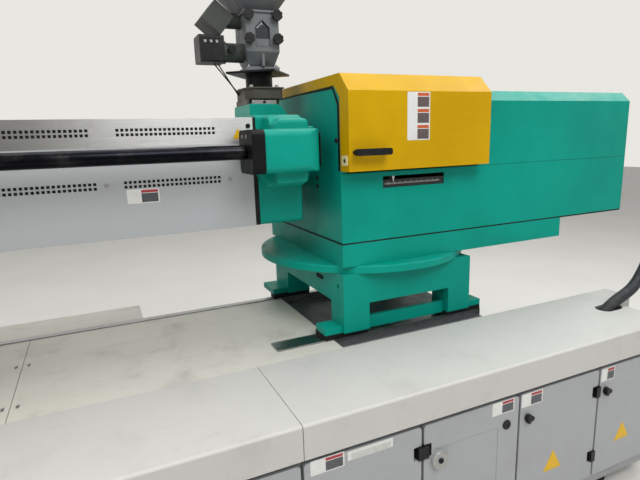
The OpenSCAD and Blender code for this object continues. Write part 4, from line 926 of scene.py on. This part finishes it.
DRESS = {
    "frame_coated_steel": "bed_frame",
    RUBBER_AND_SHADE: "foot_pads slide_pads",
    "cabinet_powder_coat": "cabinet_body",
    "device_white_plastic": "switchgear",
    "cover_powder_coat": "front_covers front_gate rear_gate clamp_covers operator_panel",
    "deck_coated_sheet": "deck_panels",
    "ground_guide_steel": "guide_rails ejector shutoff_plate",
    BLACK: "door_hinges door_knob_4 door_knob_5 conduit_glands hood_handle star_knobs feeder_drive",
    "door_powder_coat": "door_1 door_2 door_3 door_4 door_5",
    "hose_sheath": "conduit",
    "platen_grey_enamel": "fixed_platen moving_platen end_platen clamp_cylinder",
    "hard_chrome_bars": "clamp_ram tie_bars screw",
    "stop_button_red": "stop_button",
    "yellow_enamel": "purge_guard hood",
    "black_chrome_rods": "carriage_rods",
    "teal_enamel": "pedestal turntable unit_base end_plate front_panel upper_cover rear_panels",
    "teal_casting_enamel": "feed_casting",
    "black_enamel": "cylinder_caps feed_neck",
    "turned_barrel_steel": "barrel nozzle",
    "folded_band_steel": "heater_bands",
    "guard_coated_sheet": "guard_lower",
    "upper_guard_stainless": "guard_upper",
    "machined_cast_iron": "crosshead injection_frame",
    "clamp_block_castings": "clamp_block",
    "neck_cast_aluminium": "neckpiece",
    "feeder_grey_enamel": "feeder",
    "hopper_coated_sheet": "hopper hopper_lid",
}


@dataclass
class CadNodes:
    """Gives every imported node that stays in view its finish."""

    nodes: dict
    finishes: Materials

    def apply(self) -> None:
        """Puts each finish into the first material slot of its nodes."""
        for finish, names in DRESS.items():
            for node in names.split():
                mesh = self.nodes[node].data
                mesh.materials.clear()
                mesh.materials.append(self.finishes[finish])
            LOG.info("%s on %s", finish, names)


@dataclass
class Dressing:
    """A group of small pieces with the finishes that they share."""

    finishes: Materials

    def fit(self, name: str, shell: Shell, finish: str, body: Body = Body.UNIT) -> None:
        """Builds one piece in a named finish.

        Args:
            name: The piece's name.
            shell: Its surface in the machine's frame.
            finish: The finish's name.
            body: The body that it moves with.
        """
        piece(name, shell, self.finishes[finish], body)


@dataclass
class Conduit(Dressing):
    """The corrugated hose from the cover's slot, through an arch, to the cabinet's end wall."""

    radius: float = 0.0245
    rib: float = 0.0010
    pitch: float = 0.0085
    sides: int = 28
    route: tuple[Point, ...] = (
        (2.335, -0.440, 0.664), (2.372, -0.440, 0.690), (2.410, -0.440, 0.712),
        (2.447, -0.440, 0.729), (2.492, -0.440, 0.745), (2.541, -0.440, 0.768),
        (2.580, -0.440, 0.803), (2.615, -0.440, 0.852), (2.648, -0.440, 0.905),
        (2.690, -0.440, 0.945), (2.745, -0.440, 0.962), (2.800, -0.440, 0.945),
        (2.836, -0.440, 0.900), (2.850, -0.440, 0.835), (2.846, -0.440, 0.760),
        (2.825, -0.440, 0.690), (2.785, -0.440, 0.632), (2.725, -0.440, 0.592),
        (2.650, -0.440, 0.572), (2.575, -0.440, 0.565), (2.500, -0.440, 0.565),
    )

    def build(self) -> None:
        """Sweeps the hose; its radius follows the square of a cosine, one rib for each pitch."""
        path = smooth_path(list(self.route), self.pitch / 6)
        run = np.concatenate([[0], np.cumsum(np.linalg.norm(np.diff(path, axis=0), axis=1))])
        radius = self.radius - self.rib + self.rib * np.cos(math.pi * run / self.pitch) ** 2
        tube = swept(path, radius, self.sides)
        hose = piece("conduit_hose", tube, self.finishes["hose_sheath"], Body.MACHINE)
        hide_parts("conduit")


@dataclass
class Doors(Dressing):
    """Plates, triangles and locks on the cabinet doors; places are X and Z on the doors' face."""

    face: float = -0.652
    boss: Pair = (1.309, 0.445)
    lock: Pair = (1.597, 0.482)

    def plates(self) -> None:
        """Fixes the blank plates near the top edge of the doors."""
        doors = (
            (Body.DOOR_2, 0.916, 0.556, 0.108, 0.047),
            (Body.DOOR_3, 1.580, 0.552, 0.098, 0.048),
            (Body.DOOR_4, 1.714, 0.549, 0.100, 0.050),
            (Body.DOOR_5, 2.112, 0.547, 0.076, 0.052),
        )
        for number, (body, x, z, w, h) in enumerate(doors, 2):
            shell = plate(w, h, 0.003, FOIL).placed((x, self.face, z))
            self.fit(f"door_plate_{number}", shell, "door_plate_print", body)
        strip = plate(0.155, 0.030, 0.002, FOIL).placed((1.058, self.face, 0.558))
        self.fit("door_strip_2", strip, "strip_plate_print", Body.DOOR_2)

    def triangles(self) -> None:
        """Fixes plain yellow triangles low on two doors."""
        for body, x, z, w in ((Body.DOOR_4, 1.838, 0.254, 0.092), (Body.DOOR_5, 2.228, 0.262, 0.088)):
            shell = triangle(w, -0.29, 0.58).placed((x, self.face, z))
            self.fit(f"{body.value}_triangle", shell, "yellow_foil", body)

    def locks(self) -> None:
        """Adds the steel boss with its bolt and the flat black lock of the third door."""
        x, z = self.boss
        rim, deep = 0.0128, 0.0118
        steps = [(0.0308, 0), (0.0308, 0.011), (0.0295, rim), (0.013, rim), (0.0125, deep), (0, deep)]
        disc = revolved(steps, 40).placed((x, self.face, z))
        self.fit("lock_disc", disc, PLATED, Body.DOOR_3)
        bolt = screw_head(0.009, 0.006).placed((x, self.face - deep, z))
        self.fit("lock_bolt", bolt, BLACK, Body.DOOR_3)
        x, z = self.lock
        rim, deep = 0.0055, 0.0035
        steps = [(0.017, 0), (0.017, 0.004), (0.0155, rim), (0.006, rim), (0.005, deep), (0, deep)]
        flat = revolved(steps, 30).placed((x, self.face, z))
        self.fit("door_lock", flat, BLACK, Body.DOOR_3)

    def build(self) -> None:
        """Builds everything on the doors."""
        self.plates()
        self.triangles()
        self.locks()


@dataclass
class Housing(Dressing):
    """Plates, scale, bolts, latch, gasket, painted shade in the joint and plug of the injection unit's
    housing.
    """

    front: float = -0.184
    hood_front: float = -0.250
    left: float = 1.218
    length: float = 1.568
    joint_z: Pair = (1.0705, 1.0775)

    def hood_plates(self) -> None:
        """Fixes the stacked blank plates on the hood's front."""
        shell = plate(0.100, 0.172, 0.003, FOIL).placed((1.510, self.hood_front, 1.536))
        self.fit("hood_plates", shell, "hood_plate_print", Body.HOOD)

    def scale(self) -> None:
        """Lays the printed scale behind the window, and the pointer on the crosshead's arm."""
        at = (1.5395, self.front + 0.0029, 1.290)
        self.fit("stroke_scale", plate(0.287, 0.030, 0.0005, FOIL).placed(at), "stroke_scale_print")
        edge = closed([(-0.006, 0.012), (0.0, -0.012), (0.006, 0.012)], 5)
        at = (1.4435, self.front + 0.0023, 1.306)
        mark = plate(0.012, 0.024, 0.001, 0.0008, edge).placed(at)
        self.fit("stroke_pointer", mark, "pointer_white", Body.HEAD)

    def bolts(self) -> None:
        """Adds the bolts in the end plate and the small pale latch on the hood's edge."""
        bolt = screw_head(0.009, 0.005).placed((self.left, -0.155, 1.457), LEFT)
        places = [(self.left, 0.022, z) for z in (1.313, 1.279)]
        bolt = bolt + copies(screw_head(0.008, 0.005), places, LEFT)
        self.fit("end_plate_bolts", bolt, BLACK)
        thick = 0.004
        latch = plate(0.040, 0.036, 0.006, thick).placed((self.left, -0.220, 1.386), LEFT)
        self.fit("hood_latch", latch, "latch_pale_plastic", Body.HOOD)
        hole = revolved([(0.007, 0), (0.007, 0.0008), (0.0, 0.0008)], 20)
        hole = hole.placed((self.left - thick, -0.222, 1.386), LEFT)
        self.fit("hood_latch_key", hole, BLACK, Body.HOOD)

    def gasket(self) -> None:
        """Lays the black gasket along the end plate's edge: a band that follows its outline."""
        outer = [(-0.1812, 1.346), (-0.1812, 1.5860), (-0.1372, 1.6484), (0.20, 1.6484), (0.606, 1.6484)]
        inner = [(-0.1660, 1.346), (-0.1660, 1.5830), (-0.1300, 1.6400), (0.20, 1.6440), (0.606, 1.6440)]
        x = self.left - 0.0012
        lines = [dense([(x, y, z) for y, z in line], 10) for line in (outer, inner)]
        self.fit("end_gasket", ribbon(*lines), RUBBER_AND_SHADE)

    def plug(self) -> None:
        """Closes the oval hole in the pedestal's left wall with a rubber plug."""
        shell = plate(0.062, 0.018, 0.0085, 0.003).placed((self.left, 0.030, 0.9015), LEFT)
        self.fit("pedestal_plug", shell, RUBBER_AND_SHADE)

    def joint(self) -> None:
        """Fills the joint between base and panels with a dark band of painted shade at the front and the left.
        """
        # Painted shade: a black band where the recessed joint lies in shade.
        deep = 0.0012
        y, x = self.front + deep, self.left + deep
        line = [(x + self.length, y), (x, y), (x, 0.615)]
        rows = [dense([(px, py, z) for px, py in line], 12) for z in self.joint_z]
        self.fit("base_joint", ribbon(*rows), RUBBER_AND_SHADE)

    def build(self) -> None:
        """Builds all the housing's details."""
        self.hood_plates()
        self.scale()
        self.bolts()
        self.gasket()
        self.joint()
        self.plug()


@dataclass
class BarrelGuards(Dressing):
    """Screws, plate, triangle, painted shade behind the vents and seal of the barrel guards."""

    face: float = -0.020
    rear: float = 0.452
    floor: float = 1.153
    seam: float = 1.457
    top: float = 1.549

    def fixings(self) -> None:
        """Adds the guard's black screw and the two plated slot screws."""
        heads = screw_head(0.0085, 0.005).placed((0.928, self.face, 1.519))
        self.fit("guard_screw", heads, BLACK)
        places = [(0.436, self.face, 1.336), (0.848, self.face, 1.333)]
        self.fit("guard_slot_screws", copies(screw_head(0.0065, 0.003), places), PLATED)

    def plates(self) -> None:
        """Fixes the blank plate and a plain yellow triangle."""
        shell = plate(0.105, 0.048, 0.003, FOIL).placed((0.548, self.face, 1.293))
        self.fit("guard_plate", shell, "door_plate_print")
        shell = triangle(0.042, -0.38, 0.52).placed((0.890, self.face, 1.490))
        self.fit("guard_triangle", shell, "yellow_foil")

    def shade_sheets(self) -> None:
        """Puts dark plates inside the front and rear sheets, behind the vents, so that the vents show painted
        shade.
        """
        # Painted shade: dark plates stand for the shade inside the vents.
        spans = ((self.floor + 0.012, self.seam - 0.008), (self.seam + 0.008, self.top - 0.009))
        shade_plates = [
            plate(0.880, z1 - z0, 0.004, 0.008).placed((0.472, y, (z0 + z1) / 2))
            for y in (self.face + 0.0102, self.rear - 0.0022)
            for z0, z1 in spans
        ]
        self.fit("guard_lining", joined(shade_plates), RUBBER_AND_SHADE)

    def seal(self) -> None:
        """Runs the black seal through the gap between the guards and the casting."""
        inset, end = 0.0009, 0.9568
        y0, y1 = self.face + inset, self.rear - inset
        bands = []
        for z, start in ((self.floor + inset, 0.9392), (self.top - inset, 0.9462)):
            line = [(y0, self.seam), (y0, z), (y1, z), (y1, self.seam)]
            bands.append(ribbon(*[dense([(x, *p) for p in line], 10) for x in (start, end)]))
        self.fit("guard_seal", joined(bands), RUBBER_AND_SHADE)

    def build(self) -> None:
        """Builds everything on the guards."""
        self.fixings()
        self.plates()
        self.shade_sheets()
        self.seal()


@dataclass
class FeedCasting(Dressing):
    """Dark plates of painted shadow and screws on the feed casting and its cylinder blocks."""

    cap_face: float = 0.882
    block_end: float = 1.145
    core_end: float = 1.130
    mid_z: float = 1.428

    def build(self) -> None:
        """Builds dark plates of painted shadow at the right ends, in the gap to the end plate, and the screws
        of the caps.
        """
        # Painted shadow: black plates darken the gap between the block, the core and the end plate.
        shell = plate(0.140, 0.132, 0.022, 0.004).placed((self.block_end, -0.098, self.mid_z), RIGHT)
        self.fit("block_seal", shell, RUBBER_AND_SHADE)
        shell = plate(0.460, 0.372, 0.010, 0.004).placed((self.core_end, 0.2125, 1.345), RIGHT)
        self.fit("core_seal", shell, RUBBER_AND_SHADE)
        places = [(self.cap_face, -0.100, 1.4795), (self.cap_face, -0.145, 1.479)]
        self.fit("cap_screws", copies(screw_head(0.007, 0.002), places, LEFT), PLATED)


@dataclass
class FeedStack(Dressing):
    """The sight glass, pellets, frame and screws of the material feed."""

    axis: Pair = (1.057, 0.216)
    turn: float = -4.0
    body_z: float = 1.804
    depth: float = 0.095
    base_z: float = 1.748
    block_z: float = 1.670
    drive_front: float = 0.150

    @property
    def across(self) -> Point:
        """The direction of the turned stack's width: the cosine and sine of its turn."""
        return math.cos(math.radians(self.turn)), math.sin(math.radians(self.turn)), 0.0

    def spot(self, x: float, y: float, z: float) -> Point:
        """A point of the turned stack in the machine's frame; x and y start at the stack's axis."""
        c, s, _ = self.across
        return self.axis[0] + c * x - s * y, self.axis[1] + s * x + c * y, z

    def on_stack(self, shell: Shell, x: float, y: float, z: float) -> Shell:
        """Carries a shell drawn in the plane of the neckpiece's front into the machine's frame."""
        return shell.placed(self.spot(x, y, self.body_z + z), (self.across, (0, 0, 1)))

    def window(self) -> None:
        """Builds the dark sight glass, the pellets behind its lower part and the frame round it."""
        half, low, high, tip = 0.029, 0.016, 0.085, 0.112
        edge = closed([(-half, low), (half, low), (half, high), (0.0, tip), (-half, high)], 6)
        middle = edge.mean(0)
        glass = plate(2 * half, tip - low, 0.001, 0.001, (edge - middle) * 0.985)
        glass = self.on_stack(glass, middle[0], 0.006 - self.depth, middle[1])
        self.fit("sight_glass", glass, "sight_glass")
        heap = self.on_stack(plate(0.056, 0.028, 0.001, 0.001), 0.0, 0.0045 - self.depth, 0.0305)
        self.fit("pellet_heap", heap, "plastic_pellets")
        loop = np.vstack([edge, edge[:1]])
        line = np.column_stack([loop, np.zeros(len(loop))])
        rim = swept(line, np.full(len(line), 0.0014), 8)
        self.fit("window_rim", self.on_stack(rim, 0.0, -self.depth, 0.0), "neck_cast_aluminium")

    def screws(self) -> None:
        """Adds the screws of the drive box and the bolts on the clamp block and the base plate."""
        places = [(x, self.drive_front, 1.8355) for x in (0.834, 0.856, 0.878)]
        self.fit("drive_screws", copies(screw_head(0.006, 0.003), places), PLATED)
        corners = ((0.998, 0.134), (1.101, 0.130), (1.101, 0.302), (0.998, 0.300))
        places = [(x, y, self.block_z) for x, y in corners]
        self.fit("clamp_bolts", copies(hexagon_bolt(0.008, 0.010), places, TOP), PLATED)
        places = [self.spot(x, y, self.base_z) for x in (-0.056, 0.056) for y in (-0.070, 0.070)]
        self.fit("base_plate_bolts", copies(hexagon_bolt(0.006, 0.008), places, TOP), PLATED)
        plug = screw_head(0.006, 0.003).placed((1.0405, 0.112, 1.613))
        self.fit("shutoff_screw", plug, BLACK, Body.SHUTOFF)

    def build(self) -> None:
        """Builds everything on the feed stack."""
        self.window()
        self.screws()


def main() -> None:
    """Builds the studio and dresses the machine piece by piece."""
    logging.basicConfig(level=logging.INFO, format="%(message)s")
    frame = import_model()
    bpy.context.scene.view_settings.view_transform = "Standard"
    Studio().set_up()
    finishes = {finish.name: finish.material() for finish in FINISHES}
    LOG.info("finishes: %s", ", ".join(finishes))
    Conduit(finishes).build()
    CadNodes(frame["nodes"], finishes).apply()
    for group in (Doors, Housing, BarrelGuards, FeedCasting, FeedStack):
        group(finishes).build()


if __name__ == "__main__":
    main()
